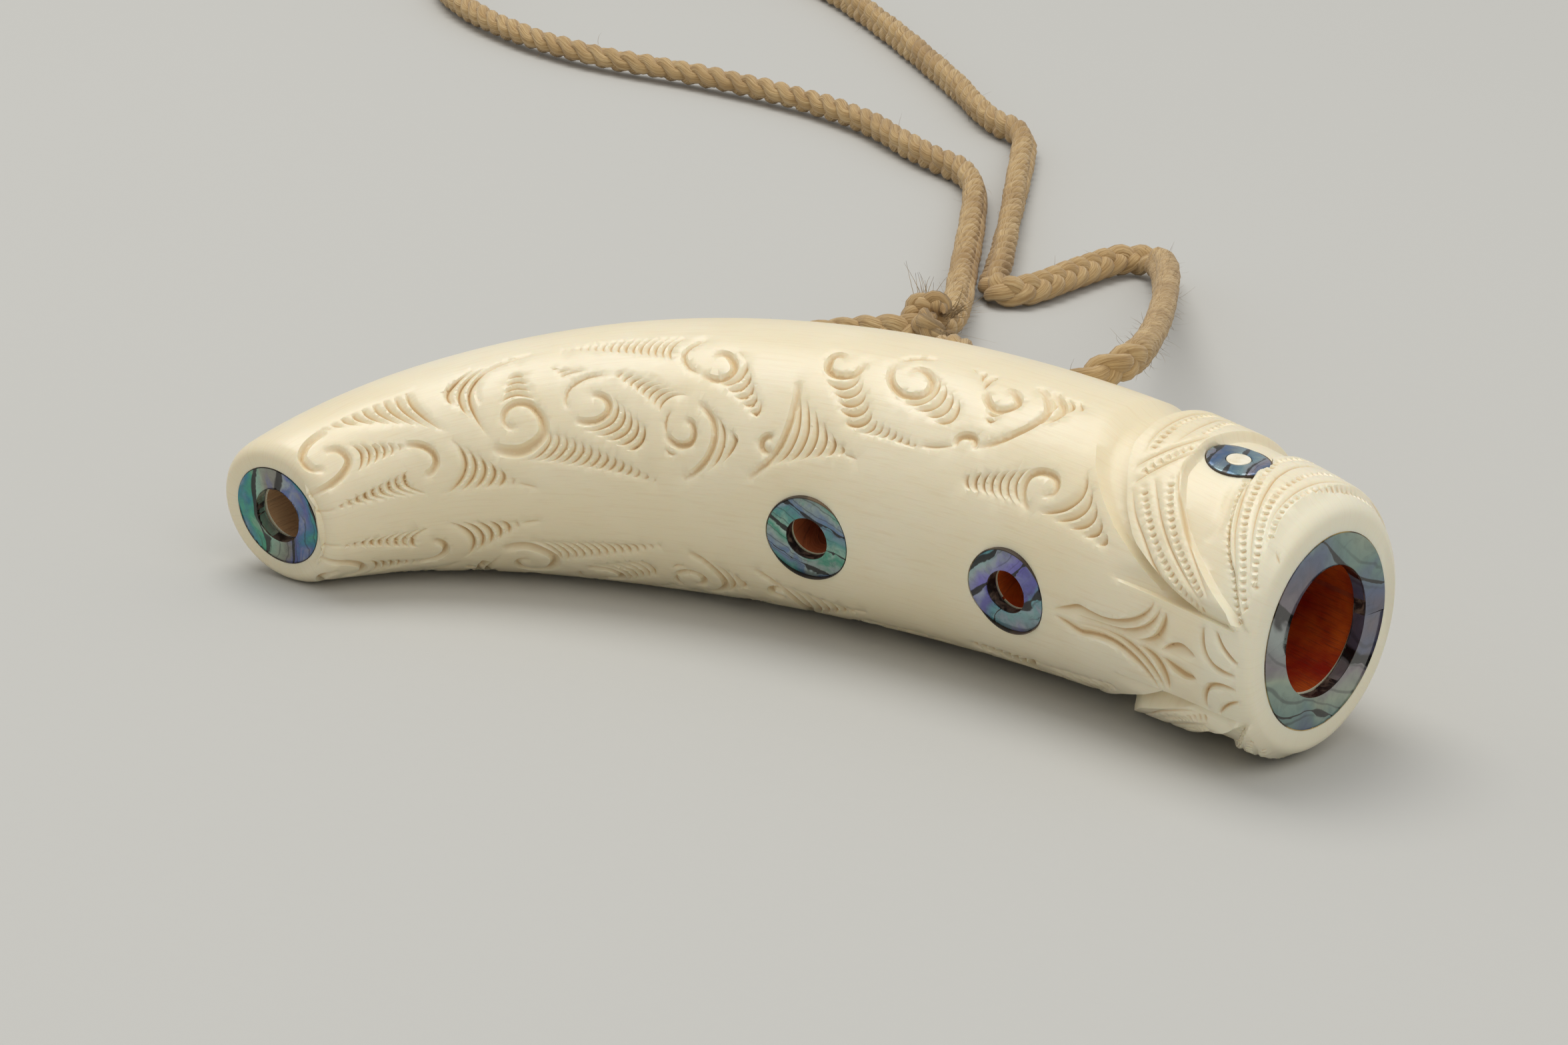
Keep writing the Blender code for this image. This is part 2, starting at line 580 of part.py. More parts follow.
def cord_curve(place):
    """Fine points of the cord's centreline, from the tunnel's middle round to it again."""
    station = TUNNEL_STATION * SPINE_LENGTH
    tunnel = place @ Vector(bend(station, math.radians(TUNNEL_ANGLE), body_radius(station)))
    half = CORD_GAP / 2 / TUNNEL_BEND
    turns = np.linspace(half, math.radians(TUNNEL_TURN), 6)
    route = [place @ tunnel_path(turn) for turn in turns]
    for x, y, z in CORD_ROUTE:
        height = CORD / 2 + 0.05 * MM if z is None else z * MM
        route.append(Vector((tunnel.x + x * MM, tunnel.y + y * MM, height)))
    route.extend(place @ tunnel_path(-turn) for turn in turns[::-1])
    points = np.array([tuple(point) for point in route])
    for _ in range(4):
        low, high = points[:-1], points[1:]
        cut = np.stack([0.75 * low + 0.25 * high, 0.25 * low + 0.75 * high], axis=1)
        points = np.vstack([points[:1], cut.reshape(-1, 3), points[-1:]])
    return points


def path_lengths(points):
    return np.concatenate([[0], np.cumsum(np.linalg.norm(np.diff(points, axis=0), axis=1))])


def at_length(points, wanted):
    lengths = path_lengths(points)
    return np.stack([np.interp(wanted, lengths, column) for column in points.T], axis=1)


def shared_out(points, count):
    """Points of the centreline, closer together where it turns."""
    runs = np.diff(points, axis=0)
    runs = runs / np.linalg.norm(runs, axis=1)[:, None]
    turns = np.arccos(np.clip(np.sum(runs[1:] * runs[:-1], axis=1), -1, 1))
    turned = np.concatenate([[0, 0], np.cumsum(turns)])
    lengths = path_lengths(points)
    measure = lengths + BEND_WEIGHT * turned
    even = np.linspace(0, measure[-1], count)
    return at_length(points, np.interp(even, measure, lengths))


def cord_tube(name, points, collection, material):
    """Round solid with flat ends along the points."""
    curve = bpy.data.curves.new(name, "CURVE")
    curve.dimensions = "3D"
    curve.bevel_depth = CORD / 2
    curve.bevel_resolution = 2
    curve.use_fill_caps = True
    spline = curve.splines.new("POLY")
    spline.points.add(len(points) - 1)
    for point, target in zip(points, spline.points):
        target.co = (*point, 1)
    curve.materials.append(material)
    tube = bpy.data.objects.new(name, curve)
    collection.objects.link(tube)
    return tube


def knot_frame(points):
    """Placing matrix of the knot's middle: local Z runs along the cord."""
    middle = path_lengths(points)[-1] - KNOT_BACK
    before, centre, after = at_length(points, [middle - CORD, middle, middle + CORD])
    return placing(Vector(centre), Vector(after - before), Vector((0, 0, 1)))


def knot_lump(points):
    bm = bmesh.new()
    shape = Matrix.Diagonal((1, 1, KNOT_LENGTH / 2 / KNOT_RADIUS, 1))
    bmesh.ops.create_uvsphere(bm, u_segments=KNOT_SEGMENTS, v_segments=KNOT_ROWS,
                              radius=KNOT_RADIUS, matrix=knot_frame(points) @ shape)
    return bm


def knot_hole(points):
    """Cutter along the cord through the knot, a little wider than the cord."""
    middle = path_lengths(points)[-1] - KNOT_BACK
    centres = at_length(points, middle + np.linspace(-1, 1, 2 * KNOT_ROWS) * 0.75 * KNOT_LENGTH)
    angle = np.linspace(0, 2 * np.pi, TUNNEL_SIDES, endpoint=False)
    rings = []
    for centre, run in zip(centres, np.gradient(centres, axis=0)):
        frame = placing(Vector(centre), Vector(run), Vector((0, 0, 1)))
        radius = CORD / 2 + KNOT_GAP
        rings.append([frame @ Vector((radius * math.cos(a), radius * math.sin(a), 0))
                      for a in angle])
    return swept(rings)


def new_material(name, colour, roughness):
    material = bpy.data.materials.new(name)
    material.use_nodes = True
    shader = material.node_tree.nodes["Principled BSDF"]
    shader.inputs["Base Color"].default_value = (*colour, 1)
    shader.inputs["Roughness"].default_value = roughness
    return material


def new_collection(name):
    collection = bpy.data.collections.new(name)
    bpy.context.scene.collection.children.link(collection)
    return collection


def new_object(name, bm, place, collection, material=None):
    """Object of a mesh in the level frame, laid down on the floor."""
    bm.transform(place)
    mesh = bpy.data.meshes.new(name)
    bm.to_mesh(mesh)
    bm.free()
    if material:
        mesh.materials.append(material)
    piece = bpy.data.objects.new(name, mesh)
    collection.objects.link(piece)
    return piece


def trim(piece, operation, cutter):
    modifier = piece.modifiers.new(cutter.name, "BOOLEAN")
    modifier.operation = operation
    modifier.solver = "EXACT"
    modifier.object = cutter


def build():
    for old in list(bpy.data.objects):
        bpy.data.objects.remove(old)
    parts = new_collection("bone_nose_flute")
    cutters = new_collection("cutters")
    bone = new_material("flute_bone", (0.87, 0.76, 0.54), 0.35)
    shell = new_material("inlay_shell", (0.09, 0.21, 0.24), 0.2)
    pupil_bone = new_material("pupil_bone", (0.85, 0.78, 0.62), 0.35)
    fibre = new_material("cord_fibre", (0.55, 0.41, 0.24), 0.9)

    body_mesh = carved_body()
    place = placed(body_mesh)
    body = new_object("flute_body", body_mesh, place, parts, bone)

    def new_cutter(name, bm):
        cutter = new_object(name, bm, place, cutters)
        cutter.hide_render = True
        cutter.display_type = "WIRE"
        return cutter

    beyond = 4 * MOUTH_ROUND_IN
    stations = np.linspace(-beyond, SPINE_LENGTH + beyond, BORE_ROWS)
    mouth, tip = end_frames()
    trim(body, "DIFFERENCE", new_cutter("bore_cutter", bent_tube(stations, bore_radius(stations),
                                                                 BORE_SEGMENTS)))
    plain = new_cutter("plain_body", plain_body())
    for name, frame, size, hole, count in (("mouth", mouth, MOUTH_INLAY, MOUTH_BORE, 36),
                                           ("tip", tip, TIP_INLAY, TIP_BORE, 26)):
        seat = disc(frame, -RING_THICK - FIT_GAP, beyond, size / 2 + FIT_GAP, count)
        trim(body, "DIFFERENCE", new_cutter(f"{name}_seat", seat))
        ring = washer(frame, -RING_THICK, 0, size / 2, hole / 2, count)
        new_object(f"{name}_inlay", ring, place, parts, shell)
    for number, share in enumerate(FINGER_STATIONS, 1):
        station = share * SPINE_LENGTH
        radius = float(body_radius(station))
        frame = side_frame(station, 0, radius)
        seat = disc(frame, -FINGER_THICK - FIT_GAP, beyond, FINGER_INLAY / 2 + FIT_GAP, 25)
        trim(body, "DIFFERENCE", new_cutter(f"finger_seat_{number}", seat))
        hole = disc(frame, -radius, beyond, FINGER_BORE / 2, 12)
        trim(body, "DIFFERENCE", new_cutter(f"finger_bore_{number}", hole))
        ring = washer(frame, -FINGER_THICK, beyond, FINGER_INLAY / 2, FINGER_BORE / 2, 24)
        inlay = new_object(f"finger_inlay_{number}", ring, place, parts, shell)
        trim(inlay, "INTERSECT", plain)
    eye_station = EYE_STATION * SPINE_LENGTH
    stretch = EYE_LONG / EYE_SHORT
    for side, angle in (("upper", EYE_ANGLE), ("lower", -EYE_ANGLE)):
        frame = side_frame(eye_station, angle, float(body_radius(eye_station)))
        floor = -EYE_THICK - FIT_GAP
        seat = disc(frame, floor, beyond, EYE_SHORT / 2 + FIT_GAP, 20, stretch)
        trim(body, "DIFFERENCE", new_cutter(f"{side}_eye_seat", seat))
        ring = washer(frame, -EYE_THICK, beyond, EYE_SHORT / 2, PUPIL / 2 + FIT_GAP, 20, stretch)
        trim(new_object(f"{side}_eye", ring, place, parts, shell), "INTERSECT", plain)
        dot = disc(frame, -EYE_THICK, beyond, PUPIL / 2, 10)
        trim(new_object(f"{side}_pupil", dot, place, parts, pupil_bone), "INTERSECT", plain)
    trim(body, "DIFFERENCE", new_cutter("cord_tunnel", tunnel_tube()))
    floor_box = bmesh.new()
    size = 2 * SPINE_LENGTH
    bmesh.ops.create_cube(floor_box, size=size, matrix=Matrix.Translation((0, 0, -size / 2)))
    floor_box.transform(place.inverted())
    trim(body, "DIFFERENCE", new_cutter("rest_flats", floor_box))

    centreline = cord_curve(place)
    cord_tube("cord", shared_out(centreline, CORD_POINTS), parts, fibre)
    knot = new_object("cord_knot", knot_lump(centreline), Matrix.Identity(4), parts, fibre)
    hole = new_object("knot_hole", knot_hole(centreline), Matrix.Identity(4), cutters)
    hole.hide_render = True
    hole.display_type = "WIRE"
    trim(knot, "DIFFERENCE", hole)


if __name__ == "__main__":
    build()
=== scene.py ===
import math
import random

import bmesh
import bpy
import numpy as np
from mathutils import Matrix, Vector
from mathutils.geometry import delaunay_2d_cdt
from mathutils.kdtree import KDTree


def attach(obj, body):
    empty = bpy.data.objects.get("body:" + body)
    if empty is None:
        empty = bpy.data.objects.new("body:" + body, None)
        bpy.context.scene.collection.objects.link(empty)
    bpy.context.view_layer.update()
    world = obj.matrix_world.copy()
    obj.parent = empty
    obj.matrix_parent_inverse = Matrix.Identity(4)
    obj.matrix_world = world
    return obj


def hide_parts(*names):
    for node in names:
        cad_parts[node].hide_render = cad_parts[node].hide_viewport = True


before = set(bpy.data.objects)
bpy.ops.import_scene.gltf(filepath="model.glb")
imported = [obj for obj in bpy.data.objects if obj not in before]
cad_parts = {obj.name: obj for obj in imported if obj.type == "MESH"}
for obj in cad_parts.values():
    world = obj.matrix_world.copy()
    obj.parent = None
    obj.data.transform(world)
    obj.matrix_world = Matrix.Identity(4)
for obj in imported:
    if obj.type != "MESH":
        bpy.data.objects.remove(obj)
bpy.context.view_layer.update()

mm = 0.001

# Camera
cameraFacts = {
    "place": (0.396076, -0.574385, 0.25387),
    "right": (0.807546, 0.58718, 0.055574),
    "up": (-0.232456, 0.230259, 0.944958),
    "back": (0.542064, -0.776015, 0.322438),
    "lens": 128.11,
    "sensor": 36.0,
}


def makeCamera():
    data = bpy.data.cameras.new("camera")
    data.lens = cameraFacts["lens"]
    data.sensor_width = cameraFacts["sensor"]
    data.clip_start, data.clip_end = 0.05, 20
    camera = bpy.data.objects.new("camera", data)
    columns = [Vector(cameraFacts[key]) for key in ("right", "up", "back")]
    turn = Matrix(columns).transposed().to_4x4()
    camera.matrix_world = Matrix.Translation(cameraFacts["place"]) @ turn
    bpy.context.scene.collection.objects.link(camera)
    bpy.context.scene.camera = camera


# Shader maths
class Value:
    def __init__(self, shader, socket):
        self.shader = shader
        self.socket = socket

    def __add__(self, other):
        return self.shader.maths("ADD", self, other)

    def __sub__(self, other):
        return self.shader.maths("SUBTRACT", self, other)

    def __rsub__(self, other):
        return self.shader.maths("SUBTRACT", other, self)

    def __mul__(self, other):
        return self.shader.maths("MULTIPLY", self, other)

    def __truediv__(self, other):
        return self.shader.maths("DIVIDE", self, other)

    def __rtruediv__(self, other):
        return self.shader.maths("DIVIDE", other, self)

    __radd__ = __add__
    __rmul__ = __mul__


class Shader:
    def __init__(self, name):
        self.material = bpy.data.materials.new(name)
        self.material.use_nodes = True
        self.tree = self.material.node_tree
        self.surface = self.tree.nodes["Principled BSDF"]

    def put(self, socket, value):
        if isinstance(value, Value):
            self.tree.links.new(value.socket, socket)
        else:
            socket.default_value = value

    def add(self, kind, settings, values, output=0):
        node = self.tree.nodes.new(kind)
        for key, value in settings.items():
            setattr(node, key, value)
        for key, value in values.items():
            self.put(node.inputs[key], value)
        return Value(self, node.outputs[output])

    def maths(self, operation, *values):
        return self.add("ShaderNodeMath", {"operation": operation}, dict(enumerate(values)))

    def objectPlace(self):
        return self.add("ShaderNodeTexCoord", {}, {}, "Object")

    def attribute(self, name):
        return self.add("ShaderNodeAttribute", {"attribute_name": name}, {}, "Vector")

    def parts(self, vector):
        node = self.tree.nodes.new("ShaderNodeSeparateXYZ")
        self.put(node.inputs[0], vector)
        return [Value(self, output) for output in node.outputs]

    def join(self, x, y, z):
        return self.add("ShaderNodeCombineXYZ", {}, {0: x, 1: y, 2: z})

    def noise(self, vector, scale, detail=2.0, roughness=0.5, warp=0.0):
        return self.add("ShaderNodeTexNoise", {}, {
            "Vector": vector, "Scale": scale, "Detail": detail, "Roughness": roughness,
            "Distortion": warp}, "Fac")

    def rise(self, value, low, high, first=0.0, last=1.0):
        return self.add("ShaderNodeMapRange", {"interpolation_type": "SMOOTHSTEP"}, {
            "Value": value, "From Min": low, "From Max": high, "To Min": first, "To Max": last})

    def mix(self, share, first, second):
        def colour(value):
            return value if isinstance(value, Value) else (*value, 1.0)
        return self.add("ShaderNodeMix", {"data_type": "RGBA"},
                        {0: share, 6: colour(first), 7: colour(second)}, 2)

    def ramp(self, value, stops):
        node = self.tree.nodes.new("ShaderNodeValToRGB")
        elements = node.color_ramp.elements
        while len(elements) < len(stops):
            elements.new(0.5)
        for element, (place, colour) in zip(elements, stops):
            element.position = place
            element.color = (*colour, 1.0)
        self.put(node.inputs[0], value)
        return Value(self, node.outputs[0])

    def bump(self, height, distance, strength):
        return self.add("ShaderNodeBump", {}, {
            "Height": height, "Distance": distance, "Strength": strength})

    def finish(self, values):
        for key, value in values.items():
            self.put(self.surface.inputs[key], value)
        return self.material


# The body's form, as the solid has it
bodyFacts = {
    "start": (-64.313 * mm, -33.687 * mm, 9.856 * mm),
    "up": (0.000045, -0.195525, 0.980699),
    "length": 160.5 * mm,
    "headings": (79.6, 43.3, 20.2, 3.8, -7.6, -15.9),
    "tipRadius": 10.1 * mm,
    "girths": (1.0, 1.442, 1.783, 1.926, 1.935, 1.86, 1.70),
    "tipSkew": 9.3,
    "mouthSkew": 11.8,
    "skewReach": 12.0 * mm,
    "tipRound": (1.5 * mm, 2.2 * mm),
    "mouthRound": (2.2 * mm, 4.4 * mm),
    "mouthBore": 17.4 * mm,
    "tipBore": 7.8 * mm,
}
chartLength = bodyFacts["length"] / mm


def along(values, share):
    knots = np.asarray(values, float)
    slopes = np.gradient(knots, edge_order=2)
    place = np.clip(np.asarray(share, float), 0, 1) * (len(knots) - 1)
    low = np.minimum(place.astype(int), len(knots) - 2)
    t = place - low
    blend = t * t * (3 - 2 * t)
    bow = slopes[low] * t * (1 - t) ** 2 - slopes[low + 1] * t * t * (1 - t)
    return knots[low] * (1 - blend) + knots[low + 1] * blend + bow


def climb(x, start, width):
    t = np.clip((x - start) / width, 0, 1)
    return t * t * (3 - 2 * t)


def spineTable(count=800):
    share = np.linspace(0, 1, count + 1)
    heading = np.radians(along(bodyFacts["headings"], share))
    pace = bodyFacts["length"] / count
    east, north = np.cos(heading), np.sin(heading)
    x = np.concatenate([[0], np.cumsum((east[1:] + east[:-1]) / 2)]) * pace
    y = np.concatenate([[0], np.cumsum((north[1:] + north[:-1]) / 2)]) * pace
    return share * bodyFacts["length"], x, y, heading


spine = spineTable()
levelToRow = Matrix.Translation(bodyFacts["start"]) @ Vector((0, 0, 1)).rotation_difference(
    Vector(bodyFacts["up"])).to_matrix().to_4x4()


def spineAt(station):
    stations, xs, ys, headings = spine
    inside = np.clip(station, 0, bodyFacts["length"])
    beyond = station - inside
    heading = np.interp(inside, stations, headings)
    x = np.interp(inside, stations, xs) + beyond * np.cos(heading)
    y = np.interp(inside, stations, ys) + beyond * np.sin(heading)
    return x, y, heading


def bend(station, angle, radius):
    x, y, heading = spineAt(station)
    front = radius * np.cos(angle)
    return np.stack([x + front * np.sin(heading), y - front * np.cos(heading),
                     radius * np.sin(angle)], axis=-1)


def unbend(points):
    # Station, angle and radius of points in the level frame
    stations, xs, ys, headings = spine
    nearest = np.empty(len(points), int)
    for first in range(0, len(points), 4000):
        part = points[first:first + 4000]
        gap = (part[:, :1] - xs) ** 2 + (part[:, 1:2] - ys) ** 2
        nearest[first:first + 4000] = gap.argmin(axis=1)
    heading = headings[nearest]
    dx, dy = points[:, 0] - xs[nearest], points[:, 1] - ys[nearest]
    front = dx * np.sin(heading) - dy * np.cos(heading)
    ahead = dx * np.cos(heading) + dy * np.sin(heading)
    return stations[nearest] + ahead, np.arctan2(points[:, 2], front), np.hypot(points[:, 2], front)


def endSlant(station):
    length, reach = bodyFacts["length"], bodyFacts["skewReach"]
    mouth = climb(station, length - reach, reach) * math.tan(math.radians(bodyFacts["mouthSkew"]))
    tip = (1 - climb(station, 0, reach)) * math.tan(math.radians(bodyFacts["tipSkew"]))
    return mouth + tip


def bodyRadius(station):
    return bodyFacts["tipRadius"] * along(bodyFacts["girths"], station / bodyFacts["length"])


def rounding(station):
    drawn = 0
    ends = ((station, *bodyFacts["tipRound"]),
            (bodyFacts["length"] - station, *bodyFacts["mouthRound"]))
    for reach, inward, length in ends:
        share = 1 - np.clip(reach / length, 0, 1)
        drawn = drawn + inward * (1 - np.sqrt(np.maximum(1 - share ** 2, 0)))
    return drawn


def boreRadius(station):
    tip, mouth = bodyFacts["tipBore"], bodyFacts["mouthBore"]
    return (tip + (mouth - tip) * station / bodyFacts["length"]) / 2


def placing(place, out, first):
    out = out.normalized()
    second = out.cross(first).normalized()
    matrix = Matrix((second.cross(out), second, out)).transposed().to_4x4()
    matrix.translation = place
    return matrix


def sideFrame(station, degrees, radius):
    angle = math.radians(degrees)
    place = Vector(bend(station, angle, radius))
    out = place - Vector(bend(station, angle, 0.0))
    _, _, heading = spineAt(station)
    return placing(place, out, Vector((math.cos(heading), math.sin(heading), 0)))


def endFrame(station, slant):
    x, y, heading = spineAt(station)
    turn = heading + math.radians(slant)
    return placing((x, y, 0), Vector((math.cos(turn), math.sin(turn), 0)), Vector((0, 0, 1)))


mouthFrame = endFrame(bodyFacts["length"], bodyFacts["mouthSkew"])
tipFrame = endFrame(0.0, bodyFacts["tipSkew"]) @ Matrix.Rotation(math.pi, 4, "X")


def newObject(name, mesh, material, replaced=()):
    piece = bpy.data.objects.new(name, mesh)
    bpy.context.scene.collection.objects.link(piece)
    mesh.materials.append(material)
    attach(piece, "root")
    if replaced:
        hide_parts(*replaced)
    return piece


def bareMesh(name, bm):
    mesh = bpy.data.meshes.new(name)
    bm.to_mesh(mesh)
    bm.free()
    return mesh


def smoothMesh(name, bm, smoothUnder):
    for edge in bm.edges:
        edge.smooth = len(edge.link_faces) == 2 and edge.calc_face_angle(0) < smoothUnder
    for face in bm.faces:
        face.smooth = True
    return bareMesh(name, bm)


def closeHoles(bm):
    bmesh.ops.holes_fill(bm, edges=[edge for edge in bm.edges if edge.is_boundary], sides=0)
    bmesh.ops.recalc_face_normals(bm, faces=bm.faces)


# Cord: three strands plaited along the route
cordFacts = {
    "diameter": 5.3 * mm,
    "tunnelStation": 98.0 * mm,
    "tunnelAngle": 154.0,
    "tunnelLean": 10.0,
    "tunnelBend": 9.0 * mm,
    "tunnelRise": 3.6 * mm,
    "tunnelTurn": 50.0,
    "endGap": 0.6 * mm,
    "pitch": 11.0 * mm,
    "sway": 1.3 * mm,
    "lift": 0.8 * mm,
    "strandWide": 1.42 * mm,
    "strandThick": 1.15 * mm,
    "step": 0.62 * mm,
    "strandSides": 10,
    "smoothUnder": 1.2,
    "knotBack": 148.5 * mm,
    "knotReach": 6.2 * mm,
    "tuftWays": ((0.75, 0.25, 0.6), (0.9, -0.35, 0.15), (-0.5, 0.6, 0.4)),
    "tuftHairs": 34,
    "tuftReach": (2.5 * mm, 6.5 * mm),
    "tuftThick": 0.09 * mm,
    "strayHairs": 420,
    "strayReach": (0.8 * mm, 3.4 * mm),
    "strayThick": 0.035 * mm,
    "strayEnds": (8 * mm, 200 * mm),
}
# Places along the cord: x and y from the tunnel and height over the floor, in mm
cordRoute = (
    (9.5, 0.0, 33.6), (11.8, 2.4, 35.5), (12.8, 6.2, 36.1), (10.8, 11.4, 35.4), (-1.5, 34.9, 30.0),
    (-28.2, 82.2, 19.0), (-53.4, 124.1, 9.0), (-66.6, 144.4, 4.4), (-72.0, 150.2, 2.7),
    (-77.2, 146.6, 2.7), (-76.4, 122.8, 2.7), (-78.2, 116.6, 2.7), (-82.2, 117.4, 2.7),
    (-87.2, 127.5, 2.7), (-120.5, 184.0, 2.7), (-131.5, 202.0, 2.7), (-141.0, 204.5, 2.7),
    (-160.3, 222.3, 2.7), (-207.7, 258.6, 2.7), (-237.0, 275.0, 2.7), (-275.0, 264.0, 2.7),
    (-285.0, 226.0, 2.7), (-263.0, 200.0, 2.7), (-225.0, 186.5, 2.7), (-192.1, 193.0, 2.7),
    (-160.0, 190.5, 2.7), (-137.6, 177.2, 2.7), (-122.0, 172.0, 2.7), (-107.9, 150.8, 2.7),
    (-88.0, 118.0, 3.0), (-75.2, 97.7, 5.3), (-68.5, 84.5, 5.9), (-73.0, 78.0, 5.9),
    (-84.3, 76.8, 3.1), (-90.0, 63.0, 2.7), (-81.0, 47.5, 2.9), (-59.8, 31.8, 9.0),
    (-36.3, 17.8, 20.0), (-18.5, 8.6, 29.8), (-13.3, 5.0, 31.4), (-9.8, 2.1, 30.6),
)


def tunnelFrame():
    station = cordFacts["tunnelStation"]
    side = sideFrame(station, cordFacts["tunnelAngle"], bodyRadius(station))
    lean = Matrix.Rotation(-math.radians(cordFacts["tunnelLean"]), 4, "Z")
    return side @ lean @ Matrix.Translation((0, 0, cordFacts["tunnelRise"]))


def tunnelPath(turn):
    reach = cordFacts["tunnelBend"]
    return levelToRow @ tunnelFrame() @ Vector((reach * math.sin(turn), 0, -reach * math.cos(turn)))


def cordCurve():
    station, angle = cordFacts["tunnelStation"], math.radians(cordFacts["tunnelAngle"])
    tunnel = levelToRow @ Vector(bend(station, angle, bodyRadius(station)))
    half = cordFacts["endGap"] / 2 / cordFacts["tunnelBend"]
    turns = np.linspace(half, math.radians(cordFacts["tunnelTurn"]), 6)
    route = [tunnelPath(turn) for turn in turns]
    route += [Vector((tunnel.x + x * mm, tunnel.y + y * mm, z * mm)) for x, y, z in cordRoute]
    route += [tunnelPath(-turn) for turn in turns[::-1]]
    points = np.array([tuple(point) for point in route])
    for _ in range(4):
        low, high = points[:-1], points[1:]
        cut = np.stack([0.75 * low + 0.25 * high, 0.25 * low + 0.75 * high], axis=1)
        points = np.vstack([points[:1], cut.reshape(-1, 3), points[-1:]])
    return points


def pathLengths(points):
    return np.concatenate([[0], np.cumsum(np.linalg.norm(np.diff(points, axis=0), axis=1))])


def atLength(points, wanted):
    lengths = pathLengths(points)
    return np.stack([np.interp(wanted, lengths, column) for column in points.T], axis=1)


def carriedFrames(points, sideways):
    # Side and upward directions carried along a path without turning about it
    run = np.gradient(points, axis=0)
    run /= np.linalg.norm(run, axis=1)[:, None]
    sides = np.empty_like(points)
    side = np.asarray(sideways, float)
    for i, direction in enumerate(run):
        side = side - direction * (side @ direction)
        side /= np.linalg.norm(side)
        sides[i] = side
    return run, sides, np.cross(run, sides)


def evenRuns(points, run):
    count = max(int(pathLengths(points)[-1] / run), 4)
    return atLength(points, np.linspace(0, pathLengths(points)[-1], count + 1))


def strandLayer(bm):
    # Length along the strand, way round it and its number, for the fibre's pattern
    layers = bm.verts.layers.float_vector
    return layers.get("strandPlace") or layers.new("strandPlace")


def skinRings(bm, rings):
    # Closed tube over rings of vertices
    for low, high in zip(rings[:-1], rings[1:]):
        for j in range(len(low)):
            bm.faces.new((low[j - 1], low[j], high[j], high[j - 1]))
    bm.faces.new(rings[0])
    bm.faces.new(rings[-1][::-1])


def plait(bm, points, pitch, sway, lift, wide, thick, sides, ends, twist):
    # Three strands that cross over each other in turn, each with its own closed tube
    placeLayer = strandLayer(bm)
    lengths = pathLengths(points)
    _, side, up = carriedFrames(points, (1, 0, 0))
    turn = twist(lengths)
    side, up = (side * np.cos(turn)[:, None] + up * np.sin(turn)[:, None],
                up * np.cos(turn)[:, None] - side * np.sin(turn)[:, None])
    close = np.ones(len(points))
    if ends:
        close = np.clip(np.minimum(lengths, lengths[-1] - lengths) / ends, 0.05, 1) ** 0.5
    angles = np.arange(sides) * 2 * np.pi / sides
    for strand in range(3):
        phase = 2 * np.pi * (lengths / pitch + strand / 3)
        uneven = 0.05 * np.sin(lengths / (7.3 * mm) + strand * 2.1)
        swell = 1 + 0.10 * np.cos(2 * phase) + uneven
        centres = points + side * (sway * np.sin(phase))[:, None]
        centres = centres + up * (lift * np.sin(2 * phase))[:, None]
        strandRun, _, _ = carriedFrames(centres, side[0])
        across = np.cross(up, strandRun)
        across /= np.linalg.norm(across, axis=1)[:, None]
        over = np.cross(strandRun, across)
        rings = []
        for i, centre in enumerate(centres):
            ring = []
            for a in angles:
                reach = across[i] * (math.cos(a) * wide * swell[i] * close[i])
                reach = reach + over[i] * (math.sin(a) * thick * swell[i] * close[i])
                vert = bm.verts.new(centre + reach)
                vert[placeLayer] = (lengths[i] / mm, a * wide / mm, strand + 0.5)
                ring.append(vert)
            rings.append(ring)
        skinRings(bm, rings)


def hairs(bm, roots, directions, reaches, thick, rng):
    # Stray fibres: thin three-sided tubes that curl away from their roots
    placeLayer = strandLayer(bm)
    for root, direction in zip(roots, directions):
        reach = rng.uniform(*reaches)
        bow = Vector([rng.uniform(-1, 1) for _ in range(3)]) * reach * 0.35
        rings = []
        for t in (0, 0.2, 0.4, 0.6, 0.8, 1):
            centre = Vector(root) + Vector(direction) * reach * t + bow * t * t
            centre.z = max(centre.z, 0.2 * mm)
            width = thick * (1 - 0.8 * t)
            ring = []
            for a in (0, 2.1, 4.2):
                vert = bm.verts.new(centre + Vector((math.cos(a), math.sin(a), 0.3)) * width)
                vert[placeLayer] = (reach * t / mm, a * 0.1, 1.5)
                ring.append(vert)
            rings.append(ring)
        skinRings(bm, rings)


fibreFacts = {
    "tones": ((0.25, (0.250, 0.145, 0.055)), (0.45, (0.480, 0.310, 0.135)),
              (0.58, (0.640, 0.455, 0.225)), (0.78, (0.800, 0.640, 0.380))),
    "worn": (0.33, 0.195, 0.078),
}


def fibreMaterial():
    shader = Shader("plaited_fibre")
    lengthwise, around, strand = shader.parts(shader.attribute("strandPlace"))
    place = shader.objectPlace()
    slant = around + lengthwise * 0.22
    fine = shader.noise(shader.join(lengthwise * 0.35, slant * 5.5, strand * 7.0), 1.0, 3.0, 0.6)
    broad = shader.noise(place, 260.0, 3.0, 0.55)
    patch = shader.noise(place, 55.0, 2.0, 0.5)
    colour = shader.ramp(fine * 0.75 + broad * 0.25, fibreFacts["tones"])
    colour = shader.mix(shader.rise(patch, 0.45, 0.72) * 0.45, colour, fibreFacts["worn"])
    return shader.finish({
        "Base Color": colour, "Roughness": shader.rise(fine, 0.2, 0.8, 0.95, 0.72),
        "Normal": shader.bump(fine * 0.8 + broad * 0.3, 0.35 * mm, 0.9), "Sheen Weight": 0.25,
        "Specular IOR Level": 0.25})


def cordTwist(lengths):
    return 0.5 + 0.6 * np.sin(lengths / 0.083) + 0.35 * np.sin(lengths / 0.031 + 1)


def knotTwist(lengths):
    return lengths / 0.01


